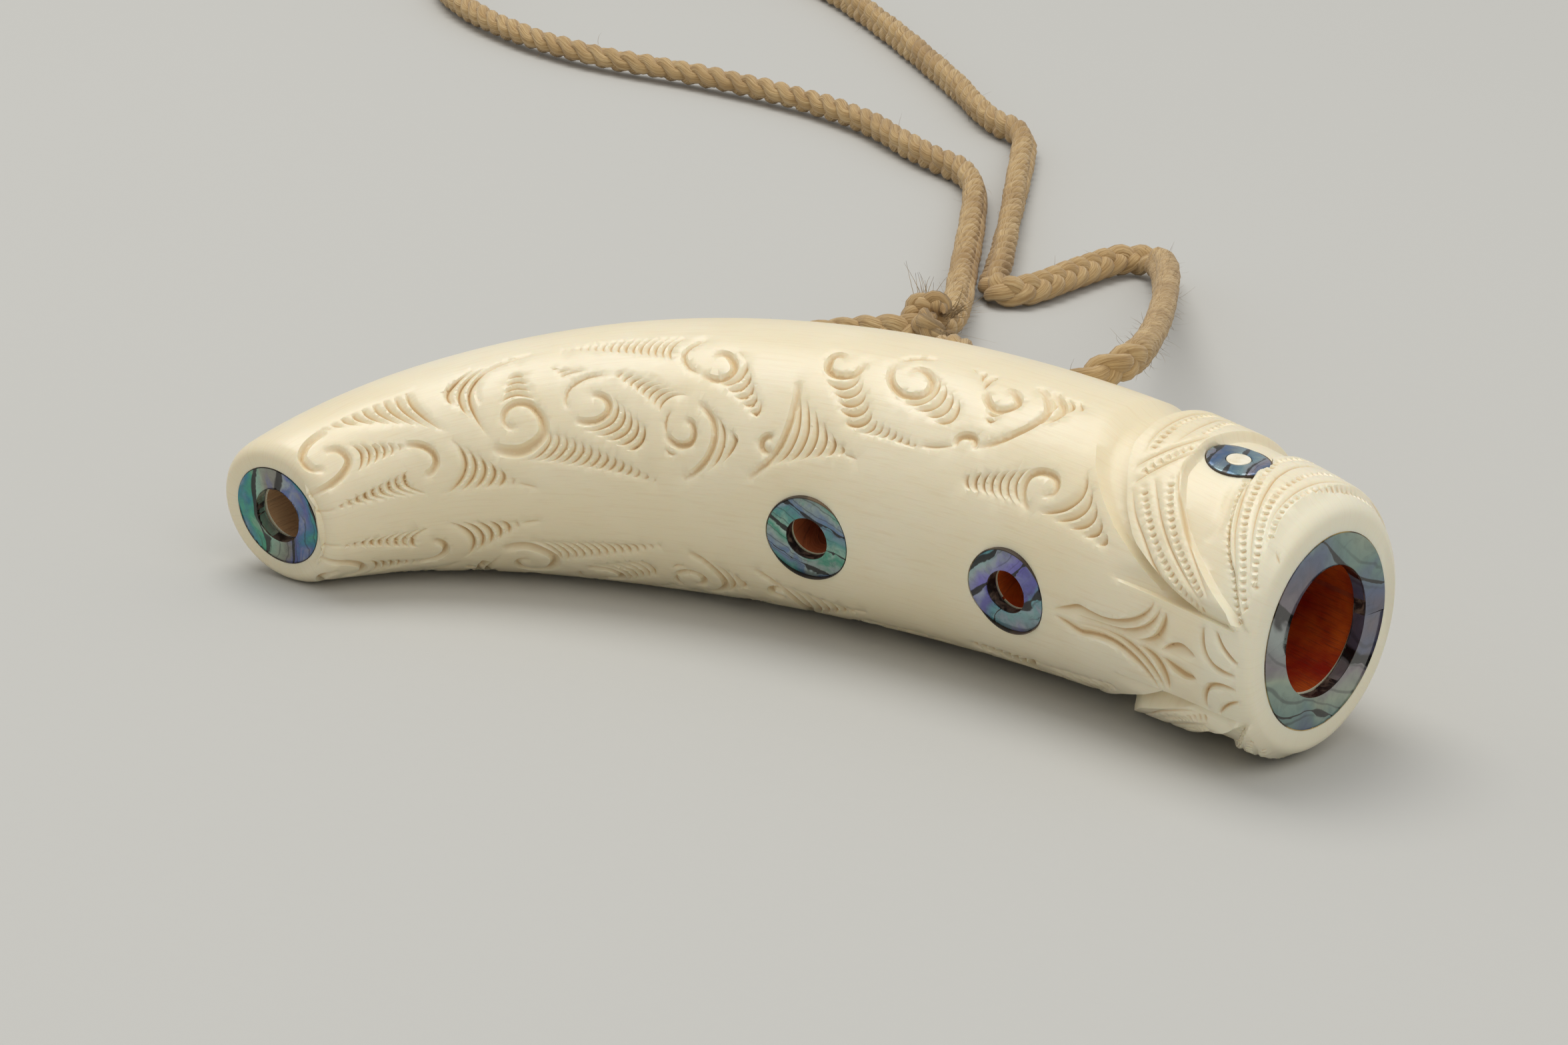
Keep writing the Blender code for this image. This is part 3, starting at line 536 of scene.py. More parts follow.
def knotLoop(frameOfKnot):
    # A trefoil, flattened where it meets the floor
    turns = np.linspace(0.35, 2 * math.pi - 0.35, 90)
    loop = np.stack([np.sin(turns) + 2 * np.sin(2 * turns), np.cos(turns) - 2 * np.cos(2 * turns),
                     -1.5 * np.sin(3 * turns)], axis=1) * cordFacts["knotReach"] / 4.6
    loop = np.array([tuple(frameOfKnot @ Vector(point)) for point in loop])
    loop[:, 2] = np.maximum(loop[:, 2], 2.4 * mm)
    return loop


def makeKnot(fine, material, rng):
    facts = cordFacts
    place = pathLengths(fine)[-1] - facts["knotBack"]
    middle, ahead = atLength(fine, [place, place + 2 * mm])
    centre = Vector(middle)
    loop = knotLoop(placing(centre, Vector(ahead - middle), Vector((0, 0, 1))))
    bm = bmesh.new()
    plait(bm, evenRuns(loop, 0.5 * mm), 8.0 * mm, 0.95 * mm, 0.6 * mm, 1.15 * mm, 0.95 * mm, 8,
          2 * mm, knotTwist)
    for way in facts["tuftWays"]:
        out = Vector(way).normalized()
        roots = [centre + out * 4.2 * mm + Vector([rng.uniform(-1, 1) for _ in range(3)]) * 0.9 * mm
                 for _ in range(facts["tuftHairs"])]
        ways = [out + Vector([rng.uniform(-0.45, 0.45) for _ in range(3)]) for _ in roots]
        hairs(bm, roots, ways, facts["tuftReach"], facts["tuftThick"], rng)
    return newObject("tied_knot", smoothMesh("tied_knot", bm, facts["smoothUnder"]), material,
                     ["cord_knot"])


def makeFuzz(points, total, material, rng):
    facts = cordFacts
    bm = bmesh.new()
    run, side, up = carriedFrames(points, (1, 0, 0))
    start, near = facts["strayEnds"]
    roots, ways = [], []
    for _ in range(facts["strayHairs"]):
        # Two of three are by the ends, which the picture shows from near
        length = rng.choice((rng.uniform(start, near), rng.uniform(total - near, total - start),
                             rng.uniform(near, total - near)))
        i = min(int(length / total * len(points)), len(points) - 1)
        turn = rng.uniform(0, 2 * math.pi)
        out = side[i] * math.cos(turn) + up[i] * math.sin(turn)
        roots.append(points[i] + out * 2.1 * mm)
        ways.append(out * rng.uniform(0.25, 0.9) + run[i] * rng.choice((-1, 1)) * rng.uniform(0.3, 1))
    hairs(bm, roots, ways, facts["strayReach"], facts["strayThick"], rng)
    return newObject("stray_fibres", smoothMesh("stray_fibres", bm, facts["smoothUnder"]),
                     material)


def makeCord(material):
    facts = cordFacts
    rng = random.Random(7)
    fine = cordCurve()
    total = pathLengths(fine)[-1]
    points = evenRuns(fine, facts["step"])
    bm = bmesh.new()
    plait(bm, points, facts["pitch"], facts["sway"], facts["lift"], facts["strandWide"],
          facts["strandThick"], facts["strandSides"], 0, cordTwist)
    cord = newObject("plaited_cord", smoothMesh("plaited_cord", bm, facts["smoothUnder"]),
                     material, ["cord"])
    knot = makeKnot(fine, material, rng)
    fuzz = makeFuzz(points, total, material, rng)
    exitPlace = tunnelPath(math.radians(66))
    print("cord length", round(total, 4))


# Body: a chart of station in mm and degrees round the spine, carved as a depth and bent
carvingFacts = {
    "cell": 0.08,  # steps of the depth table, in mm along and degrees round
    "turn": 0.25,
    "run": 0.04,  # steps along and across a cut while it is stamped
    "fine": 0.05,
    "pace": 0.45,  # mesh corners along a cut
    "wall": 0.24,  # width of a steep wall
    "swell": 1.5,
    "scaleDepth": 1.15,
    "longShare": 0.32,  # most depth of a scale, against its length and the space to the next
    "spaceShare": 0.95,
    "wallShare": 0.35,
    "scrollDepth": 0.8,
    "scrollWide": 1.35,
    "lineDepth": 0.42,
    "lineWide": 0.6,
    "pitPace": 1.08,
    "pitWide": 1.05,
    "pitDepth": 0.66,
    "pitNarrow": 0.45,
    "pitWall": 0.28,
    "pitEnd": 1.06,
    "noseRamp": 2.4,
    "noseDepth": 1.3,
    "skin": 1.3,
    "arcRadius": 19.0,
}
meshFacts = {
    "round": 119.4,  # way round the thickest place
    "cutGrid": 0.36,
    "headGrid": (0.6, 1.8),  # mm along and degrees round
    "nearGrid": (0.8, 2.5),
    "wideGrid": (1.55, 5.0),
    "clear": {"cut": 0.24, "head": 0.42, "near": 0.6, "wide": 1.15},
    "rowPace": 0.87,  # rows of near to even-sided triangles
    "cutTo": 157.0,
    "headFrom": 128.9,
    "headTo": 157.4,
    "smoothUnder": 0.56,
    "rimColumns": 121,
    "tipRim": (0, 0.04, 0.15, 0.35, 0.65, 1),
    "mouthRim": (0.36, 0.2, 0.1, 0.03, 0),
    "stretch": np.array([1, 0.32]),  # mm to a degree, nearly, so that triangles come out even
}
headFacts = {
    "neckDepth": 1.5 * mm,
    "neckReach": 0.75,
    "browHeight": 0.95 * mm,
    "cheekDepth": 0.25 * mm,
    "lipHeight": 0.6 * mm,
    "step": 0.9,
    "noseEdge": 21.5,
    "noseRise": 4.5,
    "valleyDepth": 0.9 * mm,
    "valleyWall": 0.9,
    "valleyWide": 8.0,
    "valleyFrom": 138.0,
    "valleyGrow": 6.0,
    "valleyTo": 156.8,
    "valleyFade": 1.4,
    "noseLines": (1.7, 3, 4.5),  # degrees past the nose's edge at which the border lines bend
    "linesFrom": 6.5,
    "linesStep": 2.5,
    "valleyLines": (158.4, 0.7),
}
# Borders on the head: degrees round the spine and station
neckStart = ((25, 147.0), (30, 143.5), (40, 137.0), (50, 132.5), (60, 129.0), (72, 126.2),
             (90, 124.6), (180, 123.8))
browStart = ((21, 154.4), (26, 150.5), (31, 146.4), (39, 140.8), (49, 137.4), (59, 134.9),
             (66, 133.2), (75, 131.6), (90, 130.8), (180, 130.4))
browEnd = ((24, 158.6), (29, 157.3), (34, 154.9), (40, 152.5), (45, 150.3), (53, 146.9),
           (59, 144.7), (67, 142.6), (74, 140.9), (92, 139.6), (180, 139.2))
lipStart = ((24, 159.2), (31, 157.9), (36, 157.1), (43, 155.9), (51, 153.8), (59, 152.3), (68, 150.8),
            (77, 149.6), (87, 148.5), (95, 147.3), (103, 146.4), (115, 145.6), (180, 145.2))
collarEdge = ((20, 159.9), (42, 159.7), (52, 159.2), (60, 158.6), (70, 158.0), (80, 157.6),
              (100, 157.4), (180, 157.2))
mirrorLine = ((0, 3.5), (35, 3.5), (55, 1), (85, 0), (125, -1), (160.5, -1))
# Rows of scales: first cut, last cut, how many, and whether their walls face in or out
scaleRows = (
    (((8.8, 58.5), (10, 51), (9.6, 44), (8.2, 38)), ((17, 45.5), (17.3, 44), (17, 42.3)), 7, "in"),
    (((7, 80), (7.2, 78), (7.8, 76)), ((20, 79), (20.3, 64), (23.2, 47.5)), 9, "in"),
    (((17.6, 30.5), (16.2, 27.5), (16.4, 21), (18.5, 15.5), (19.8, 14)),
     ((3.6, 20.5), (3.1, 19.3), (3.6, 18.3)), 10, "in"),
    (((24.9, 40.5), (26.5, 33), (26.7, 25), (25.3, 17.5), (22.6, 12.2)),
     ((34.2, 16.5), (34.5, 15), (34.1, 13.2)), 6, "out"),
    (((29.5, 82), (26, 74), (25.2, 67), (26, 61)), ((33.5, 82), (29.5, 73), (28.3, 60), (29.9, 42)),
     3, "in"),
    (((32.9, 51), (33.8, 56.5), (36, 58), (38.6, 53.5)), ((34.6, 68), (35.9, 69.6), (37.2, 67.5)),
     4, "in"),
    (((40.7, 39), (41.2, 34), (40.3, 29.5), (38.7, 26), (36.8, 25), (35.3, 25.5)),
     ((58.6, 17), (58.8, 16.5), (58.8, 16), (58.6, 15.5), (58.4, 15.5), (58.2, 15.5)), 14, "out"),
    (((50.5, 53.5), (52, 47), (51.3, 40.5), (48.9, 37), (46.6, 36.8)),
     ((56.5, 39), (56.5, 33), (55.3, 29), (53.8, 28.2)), 5, "out"),
    (((42.6, 64), (44.6, 66.5), (48, 66)), ((41.4, 69.5), (42.4, 69.8), (43.6, 69)), 3, "in"),
    (((52.6, 64.2), (51.8, 63), (51.5, 61.6), (51.9, 60.6)),
     ((63.8, 51.6), (60.9, 52.3), (59.2, 49.5), (58.8, 44.5)), 8, "out"),
    (((67.8, 45), (69.5, 40.4), (70.1, 35.6), (69.8, 29.7), (68.8, 24.7), (67.1, 21.3)),
     ((70.6, 39.3), (71.7, 36.8), (72.1, 35.1), (71.8, 32.4), (71.1, 29.2), (70.2, 25.8)), 2, "out"),
    (((66.8, 59.5), (68.2, 57.8), (69.6, 59), (70.6, 62.8), (70.7, 68), (68.4, 75.4)),
     ((73.1, 47.7), (73.8, 46.2), (74.4, 45.9), (74.8, 46.5), (74.9, 48.2), (74.9, 50.7)), 5, "out"),
    (((43, 84), (43.1, 83), (43.5, 82.2)), ((60.2, 85), (58.6, 78), (59.2, 70)), 15, "out"),
    (((80, 58.4), (81.5, 48.2), (81.8, 40), (80.7, 31.7), (78.3, 27)),
     ((89.3, 39.2), (89.9, 38.7), (90.1, 38), (90, 36.9), (89.6, 36.2)), 6, "out"),
    (((82, 70.1), (83.8, 64), (86.1, 62.4), (87.7, 65.4), (87.7, 71)),
     ((88.9, 48), (89.7, 47.3), (91.1, 47.9), (92.3, 50.6), (92.4, 54.4)), 5, "out"),
    (((90.6, 46.6), (91.6, 45.7), (92.9, 46.4), (93.7, 48.7), (93.7, 51.9)),
     ((100.1, 46.1), (100.5, 45.2), (101, 45.2), (101.2, 45.9), (101, 47.2)), 7, "out"),
    (((94.5, 64.8), (96.3, 61.8), (98.6, 62.7), (100, 67.5), (99.8, 74.2), (97.9, 79.6)),
     ((102, 57.2), (103.4, 57), (104.5, 58.4), (105, 61.1), (104.8, 65.3), (104, 68.8)), 4, "out"),
    (((106.4, 86), (106, 80), (106.9, 75)), ((102.5, 88.5), (103.6, 85), (104.9, 80.5)), 3, "in"),
    (((107.8, 72.1), (109, 69.4), (110.4, 70), (111.4, 72.3)),
     ((108.8, 65.3), (109.8, 63.2), (110.5, 63.5), (111.2, 66.1)), 3, "out"),
    (((113.6, 88), (116.8, 83), (117.2, 76.5), (115.9, 70.5)),
     ((119.6, 87), (120.6, 85.5), (120.9, 83.5)), 4, "out"),
    (((122.8, 53), (120.9, 51.5), (119.5, 48.5), (119, 44), (119.5, 40), (120.6, 37), (122.5, 34.5)),
     ((111.6, 41.5), (111.4, 40.8), (111.3, 39.8), (111.3, 38.5), (111.5, 37.2), (111.9, 36),
      (112.6, 35)), 7, "in"),
    (((128.2, 57.5), (129.5, 52.5), (129.9, 47), (129.1, 42), (127.5, 38), (125, 35)),
     ((136.2, 36), (136.6, 34.5), (136.7, 33.2), (136.4, 32.2), (136, 31.8), (135.6, 31.7)), 5,
     "out"),
)
# Scrolls: round-bottomed grooves
scrollCuts = (
    ((7.5, 76), (4.5, 74), (2.5, 68), (2.1, 60), (2.6, 53), (4, 49.5)),
    ((5.3, 60.5), (7.2, 58.5), (8, 52), (7.8, 46), (6.2, 40.5), (3.8, 37), (1.5, 36.5), (0.3, 40)),
    ((17.2, 44.5), (19.5, 42.5), (21.2, 37), (21.5, 31), (20.6, 26.5), (19.2, 24.8)),
    ((35.5, 43), (34.6, 42), (33.8, 43.5), (33.5, 47), (34, 51.5), (35.6, 54.3), (37.4, 53),
     (38.8, 48.5), (39.6, 43), (39.5, 37.5), (38.2, 33), (35.9, 30), (33.4, 30.5), (31.2, 33)),
    ((47.2, 53.5), (49, 53), (50.2, 49.5), (50.1, 45), (48.6, 41.8), (46.8, 41.2), (44.9, 42.3)),
    ((64.4, 49), (65.8, 47.2), (67.6, 41.4), (68.1, 34.7), (67.4, 27.8), (65.6, 21.8), (63.1, 17.7)),
    ((62.8, 40.9), (63.7, 41.3), (64.4, 38.9), (64.6, 35.3), (63.9, 32.2), (62.2, 31.5),
     (60.7, 33.4), (59.9, 36.6)),
    ((65, 72.1), (65.7, 74.5), (67, 74), (68.4, 69.3), (68.7, 65.4), (68, 62.3), (66.6, 60.7),
     (64.9, 61.7), (64.2, 63.4)),
    ((79, 63.2), (79.8, 54.8), (79.8, 42), (78.4, 31.4), (74.4, 20.9)),
    ((77.9, 38.1), (76.7, 38.3), (76, 36.2), (76.3, 33.6), (77.2, 32.3), (78, 33.9)),
    ((84.1, 78.4), (83, 80.3), (82.2, 78.6), (82.2, 75.2), (82.6, 71.5), (83.9, 69.2), (85.6, 69.2),
     (87, 71.7), (87.1, 78.2)),
    ((94.4, 76.8), (94.8, 79.8), (96, 80), (97.5, 77.4), (98.5, 73.5), (98.5, 69.3), (97.5, 66.6),
     (95.7, 65.7), (94, 67.3), (92.6, 70.6), (91.7, 75.4), (91.3, 81.1)),
    ((109.1, 80), (109.9, 81.1), (111.3, 78.7), (112, 75.5), (111.4, 72.1), (110.3, 70.2),
     (108.9, 70.6), (107.5, 73.4), (106.5, 77.8)),
    ((112.1, 87.6), (113.8, 85.8), (115.7, 81), (116.8, 75.5), (116.3, 68.6), (114.6, 61.6),
     (112.5, 55.6), (110.1, 51.5)),
    ((114.8, 87.6), (116.6, 84.9), (118.4, 80.1), (118.4, 75.6), (117.2, 70.3)),
    ((107.5, 50), (106.9, 51.8), (107.1, 54), (108, 55.3), (109.2, 55), (109.9, 52.8), (109.6, 51.2)),
    ((122.6, 34.8), (121.2, 37.2), (120.5, 40), (120.1, 44), (120.4, 48), (121.8, 50.7),
     (123.9, 50.5), (125, 48), (125.1, 44.7), (124.2, 42.8), (123.5, 42.7)),
)
# Thin grooves: places, width in mm and depth in mm
thinCuts = (
    (((3.2, 18.6), (1.5, 20), (0.4, 23)), 0.7, 0.3),
    (((34.5, 14.5), (36.5, 13), (38.3, 11.6)), 0.7, 0.3),
    (((38.8, 84), (34.5, 82), (31, 76), (29.9, 66), (30.3, 56)), 0.9, 0.35),
    (((38.9, 48), (39.7, 43), (39.7, 37.5), (38.3, 33), (35.9, 30), (33.4, 30.5), (31.2, 33)), 1.9,
     0.95),
    (((43.9, 47.5), (43.4, 53), (44.2, 59), (46.3, 63), (49.5, 63.8)), 1.0, 0.5),
    (((60.5, 46), (59.7, 41), (60.2, 35)), 0.9, 0.45),
    (((60.1, 30), (60.8, 27.8), (62, 28)), 0.8, 0.4),
    (((63.3, 83), (61.3, 79), (60.6, 73), (61.8, 66.5), (64, 63.4)), 1.0, 0.5),
    (((90, 36.2), (91.5, 36), (92.4, 35.3)), 0.6, 0.3),
    (((101.5, 46.6), (103.3, 47), (104.8, 48), (106.9, 50)), 0.8, 0.4),
    (((91.8, 82), (93.5, 86.5), (96.5, 89)), 0.9, 0.4),
    (((147.6, 84), (148.9, 73), (150.4, 65), (151.2, 57), (150.6, 50)), 1.8, 0.35),
    (((156.1, 19), (156.2, 13), (157, 7.5), (158.3, 4.0), (160.2, 2.4), (162.2, 2.8)), 1.1, 0.85),
    (((158.4, 19.5), (159.2, 15.5), (160.6, 11.5), (162.4, 8)), 0.9, 0.7),
)
# Chips and a crack, on one side only
chips = (
    (((25.2, -46), (25.9, -48.2), (26.6, -51)), 1.0, 0.7),
    (((28.4, -38.5), (28, -43), (27.6, -47.5), (28, -51.5)), 1.6, 1.2),
    (((160.6, 60.5), (161.2, 59), (161.9, 57)), 0.35, 0.3),
)
# Cuts of the nose and a place that each one's ramp rises towards
noseCuts = (
    (((129.3, 0.8), (131.5, 3.5), (133.8, 6), (136, 5.2), (138.5, 4.8), (141, 6.2), (143.8, 10),
      (145.8, 15), (146.8, 20)), (150, 3)),
    (((133.2, 1.8), (136, 1.2), (139, 1.3), (142, 2.8), (145, 7), (147, 12.5), (148, 18.5)), (150, 3)),
    (((144.2, 0.5), (147, 4.5), (148.4, 10.5), (149, 17.5)), (152, 5)),
    (((149, 0.6), (150.5, 5), (152.6, 7.3), (154.6, 5.8), (155.4, 4.2)), (152.4, 2)),
)
headLines = (
    ((131.9, 173), (132.3, 118), (132.6, 100), (133.2, 84), (134.3, 72)),
    ((134.4, 173), (134.8, 119), (135.6, 104), (136.3, 92), (136.6, 82)),
    ((138.6, 98), (138.3, 90), (137, 80), (135.6, 70), (134.9, 64)),
    ((140.2, 84), (139, 76), (137.6, 67), (136.4, 58)),
    ((136.9, 57), (139.5, 48), (142.5, 41), (146, 33), (150, 27), (154.6, 23.6)),
    ((138.6, 64.5), (141.5, 56), (144, 49), (147, 42), (151, 34.5), (156, 26.5)),
    ((140.2, 77), (142, 67), (145.5, 56.5), (149.5, 46), (153, 38), (156.6, 29.5)),
    ((145.8, 173), (146.3, 116), (147.6, 95), (149.3, 84), (151, 75), (152.7, 66.5), (154.4, 58.5),
     (156.4, 51), (158.6, 43), (160.2, 36), (161.4, 30)),
    ((149.8, 173), (150, 116), (151, 96), (152.7, 83), (154.2, 74), (156, 65), (157.9, 56.5),
     (159.6, 49), (161, 41.5), (162, 35.5)),
    ((154.5, 173), (154.8, 116), (155.2, 97), (155.9, 84), (157, 73), (158.6, 64.5), (160, 57)),
)
pitRows = (
    ((132.9, 173), (133.3, 118), (133.7, 100), (134.3, 86), (135, 76)),
    ((135.8, 173), (136.2, 119), (137.2, 104), (138, 94)),
    ((139.6, 88), (138.6, 80), (137.6, 72), (136.6, 64)),
    ((138, 60), (140.3, 53), (142.8, 46), (145.5, 39.5), (149, 33), (153, 27), (155.6, 24.8)),
    ((140.8, 68), (142.5, 60.5), (145, 52), (148, 44), (151.5, 37), (155.6, 29)),
    ((145, 173), (145.5, 120), (146.4, 97), (147.9, 87), (149.6, 77), (151.2, 68.2), (153, 59.3),
     (155, 51.2), (157.5, 43.4), (159.3, 36.2), (160.5, 30.8), (161.6, 26.5)),
    ((147.4, 173), (147.9, 113), (149.4, 94), (151.9, 78.5), (153.5, 69.5), (155.4, 60.8),
     (157.5, 53), (159.3, 45.6), (160.6, 38.6), (161.8, 33)),
    ((152.3, 173), (152.5, 123), (152.9, 107), (153.6, 93), (154.5, 82.5), (155.7, 73.7),
     (157.5, 64.2), (159.2, 56), (160.5, 48.6), (161.6, 42.6)),
    ((156.1, 173), (156.3, 116), (156.5, 95), (156.9, 81), (158, 71.7), (159.2, 64)),
)


def border(pairs, degrees):
    angles, stations = zip(*pairs)
    return np.interp(degrees, angles, stations)


def headRelief(chart, degrees):
    # Neck hollow, brow bands, cheeks and lips over the plain body
    facts = headFacts
    side = np.abs(degrees)
    neck, brow = border(neckStart, side), border(browStart, side)
    cheek, lip = border(browEnd, side), border(lipStart, side)
    wall = facts["step"]
    hollow = np.clip((chart - neck) / (facts["neckReach"] * (brow - neck)), 0, 1)
    height = -facts["neckDepth"] * hollow * (2 - hollow)
    height += (facts["neckDepth"] + facts["browHeight"]) * climb(chart, brow - wall / 2, wall)
    height -= (facts["browHeight"] + facts["cheekDepth"]) * climb(chart, cheek - wall / 2, wall)
    height += (facts["cheekDepth"] + facts["lipHeight"]) * climb(chart, lip, wall)
    height -= facts["lipHeight"] * climb(chart, border(collarEdge, side) - wall / 2, wall)
    edge = facts["noseEdge"]
    valley = climb(side, edge, facts["valleyWall"])
    valley = valley * (1 - climb(side, edge + 1.5, facts["valleyWide"]))
    valley = valley * climb(chart, facts["valleyFrom"], facts["valleyGrow"])
    valley = valley * (1 - climb(chart, facts["valleyTo"], facts["valleyFade"]))
    return height * climb(side, edge, facts["noseRise"]) - facts["valleyDepth"] * valley


def outerSurface(blank, angle):
    plain = bodyRadius(blank) - rounding(blank)
    height = headRelief(blank / mm, np.degrees(angle))
    return blank + plain * np.cos(angle) * endSlant(blank), plain + height


def blankStation(places):
    # Station on the blank of chart places, undoing the slant of the ends
    station, angle = places[:, 0] * mm, np.radians(places[:, 1])
    blank = station
    for _ in range(8):
        blank = station - (bodyRadius(blank) - rounding(blank)) * np.cos(angle) * endSlant(blank)
    return blank / mm


def flatScale(station):
    return np.array([1, math.radians(float(bodyRadius(station * mm))) / mm])


def chartPath(places, pace=0, count=0):
    share = np.linspace(0, 1, 80)
    fine = np.stack([along(column, share) for column in zip(*places)], axis=1)
    lengths = pathLengths(fine * flatScale(fine[40, 0]))
    count = count or max(int(round(lengths[-1] / pace)) + 1, 4)
    even = np.linspace(0, lengths[-1], count)
    return np.stack([np.interp(even, lengths, column) for column in fine.T], axis=1)


def mirrored(path):
    stations, lines = zip(*mirrorLine)
    centre = np.interp(path[:, 0], stations, lines)
    return np.stack([path[:, 0], 2 * centre - path[:, 1]], axis=1)


def tapered(count):
    return np.sin(np.pi * np.linspace(0, 1, count)) ** 0.5


def cutLine(places):
    # Flat places of a cut in mm, the directions to its side, and the scale from the chart
    path = chartPath(places, carvingFacts["run"])
    scale = flatScale(path[len(path) // 2, 0])
    flat = path * scale
    run = np.gradient(flat, axis=0)
    return flat, np.stack([-run[:, 1], run[:, 0]], axis=1) / np.hypot(*run.T)[:, None], scale


def acrossSteps(low, high):
    return np.arange(low, high + 0.01, carvingFacts["fine"])


def scoop(share, wall):
    # A steep wall at the start and a swelling ramp up to the end
    rise = np.clip(share / wall, 0, 1)
    return rise * rise * (3 - 2 * rise) * np.clip(1 - share, 0, 1) ** carvingFacts["swell"]


def stamp(field, places, depths, both=True):
    # The deepest cut counts, on one side and mirrored on the other
    places, depths = places.reshape(-1, 2), depths.ravel()
    sides = [places, mirrored(places)] if both else [places]
    for side in sides:
        row = np.rint(side[:, 0] / carvingFacts["cell"]).astype(int)
        column = np.rint(side[:, 1] / carvingFacts["turn"]).astype(int) % field.shape[1]
        inside = (row >= 0) & (row < len(field))
        np.maximum.at(field, (row[inside], column[inside]), depths[inside])


def offset(line, steps):
    # Chart places of a cut's line moved to its side
    flat, side, scale = line
    return (flat[:, None] + side[:, None] * np.asarray(steps)[:, None]) / scale


def readField(field, station, degrees):
    row = np.clip(station / carvingFacts["cell"], 0, len(field) - 1.001)
    column = degrees / carvingFacts["turn"] % field.shape[1]
    low, left = row.astype(int), column.astype(int) % field.shape[1]
    right = (left + 1) % field.shape[1]
    down, over = row - low, column - np.floor(column)
    first = field[low, left] * (1 - over) + field[low, right] * over
    second = field[low + 1, left] * (1 - over) + field[low + 1, right] * over
    return first * (1 - down) + second * down


def softened(field, reach):
    shares = np.exp(-0.5 * (np.arange(-3 * reach, 3 * reach + 1) / reach) ** 2)
    shares /= shares.sum()
    for axis in (0, 1):
        field = sum(share * np.roll(field, shift, axis)
                    for shift, share in zip(range(-3 * reach, 3 * reach + 1), shares))
    return field


def carveRow(field, lines, first, last, count, wallSide):
    # Cuts that step from the first to the last, with a wall on one edge and a ramp to the other
    facts = carvingFacts
    rough = chartPath(first, count=13), chartPath(last, count=13)
    scale = flatScale(rough[0][6, 0])
    wide = np.hypot(*((rough[1] - rough[0]) * scale).T).max() / (count - 1)
    long = max(pathLengths(path * scale)[-1] for path in rough)
    across = int(long / facts["fine"]) + 4
    start, end = chartPath(first, count=across), chartPath(last, count=across)
    step = (end - start) / (count - 1)
    low = 0 if wallSide == "in" else -1
    turns = np.linspace(low, low + count, int(count * wide / facts["fine"]) + 2)
    places = start + step * turns[:, None, None]
    run = np.gradient(places * scale, axis=1)
    lengths = np.hypot(run[..., 0], run[..., 1])
    side = np.stack([-run[..., 1], run[..., 0]], axis=2) / np.maximum(lengths, 1e-6)[..., None]
    space = np.abs(np.sum(side * step * scale, axis=2)) + 1e-3
    share = turns % 1 if wallSide == "in" else 1 - turns % 1
    depth = np.minimum(facts["scaleDepth"], facts["longShare"] * lengths.sum(axis=1)[:, None])
    depth = np.minimum(depth, facts["spaceShare"] * space) * tapered(across)
    wall = np.minimum(facts["wall"] / space, facts["wallShare"])
    stamp(field, places, depth * scoop(share[:, None], wall))
    foot = min(facts["wall"] / float(np.median(space)), facts["wallShare"])
    foot = foot if wallSide == "in" else -foot
    for index in range(low, low + count + 1):
        for turn in (index, index + foot):
            if low <= turn <= low + count:
                lines.append(chartPath(start + step * turn, facts["pace"]))


def sparse(line, step):
    return offset(line, [step])[::round(carvingFacts["pace"] / carvingFacts["run"]), 0]


def carveBlade(field, lines, places, ramp, depth, towards):
    # A steep wall on the path and a ramp that rises towards a place
    wall = carvingFacts["wall"]
    flat, side, scale = cutLine(places)
    if np.sum(side * (np.array(towards) * scale - flat)) < 0:
        side = -side
    line = flat, side, scale
    taper = tapered(len(flat))[:, None]
    reach = wall + ramp * taper
    steps = acrossSteps(0, ramp + wall)
    stamp(field, offset(line, steps), depth * taper * scoop(steps / reach, wall / reach))
    lines += [sparse(line, 0), sparse(line, wall)]


def carveGroove(field, lines, places, wide, depth, both=True):
    line = cutLine(places)
    steps = acrossSteps(-wide / 2, wide / 2)
    depths = depth * tapered(len(line[0]))[:, None] * (1 - (2 * steps / wide) ** 2)
    stamp(field, offset(line, steps), depths, both)
    lines += [sparse(line, step) for step in (-wide / 2, 0, wide / 2)]


def carvePits(field, loose, places):
    # Notches in a row, each with a steep edge and a narrower tail
    facts = carvingFacts
    line = cutLine(places)
    wide = facts["pitWide"]
    share = (pathLengths(line[0]) / facts["pitPace"] % 1)[:, None]
    steps = acrossSteps(-wide / 2, wide / 2)
    half = wide / 2 * (1 - facts["pitNarrow"] * share)
    across = np.clip(1 - (np.abs(steps) / half) ** 4, 0, 1)
    ends = np.clip(np.arange(len(share))[:, None] * facts["run"], 0, 1)
    depth = facts["pitDepth"] * scoop(share * facts["pitEnd"], facts["pitWall"])
    stamp(field, offset(line, steps), depth * across * ends)
    for place in (-0.5, -0.25, 0, 0.25, 0.5):
        loose.extend(offset(line, [place * wide])[::7, 0])


def treeOf(places):
    tree = KDTree(len(places))
    for i, place in enumerate(places):
        tree.insert((*(place * meshFacts["stretch"]), 0), i)
    tree.balance()
    return tree


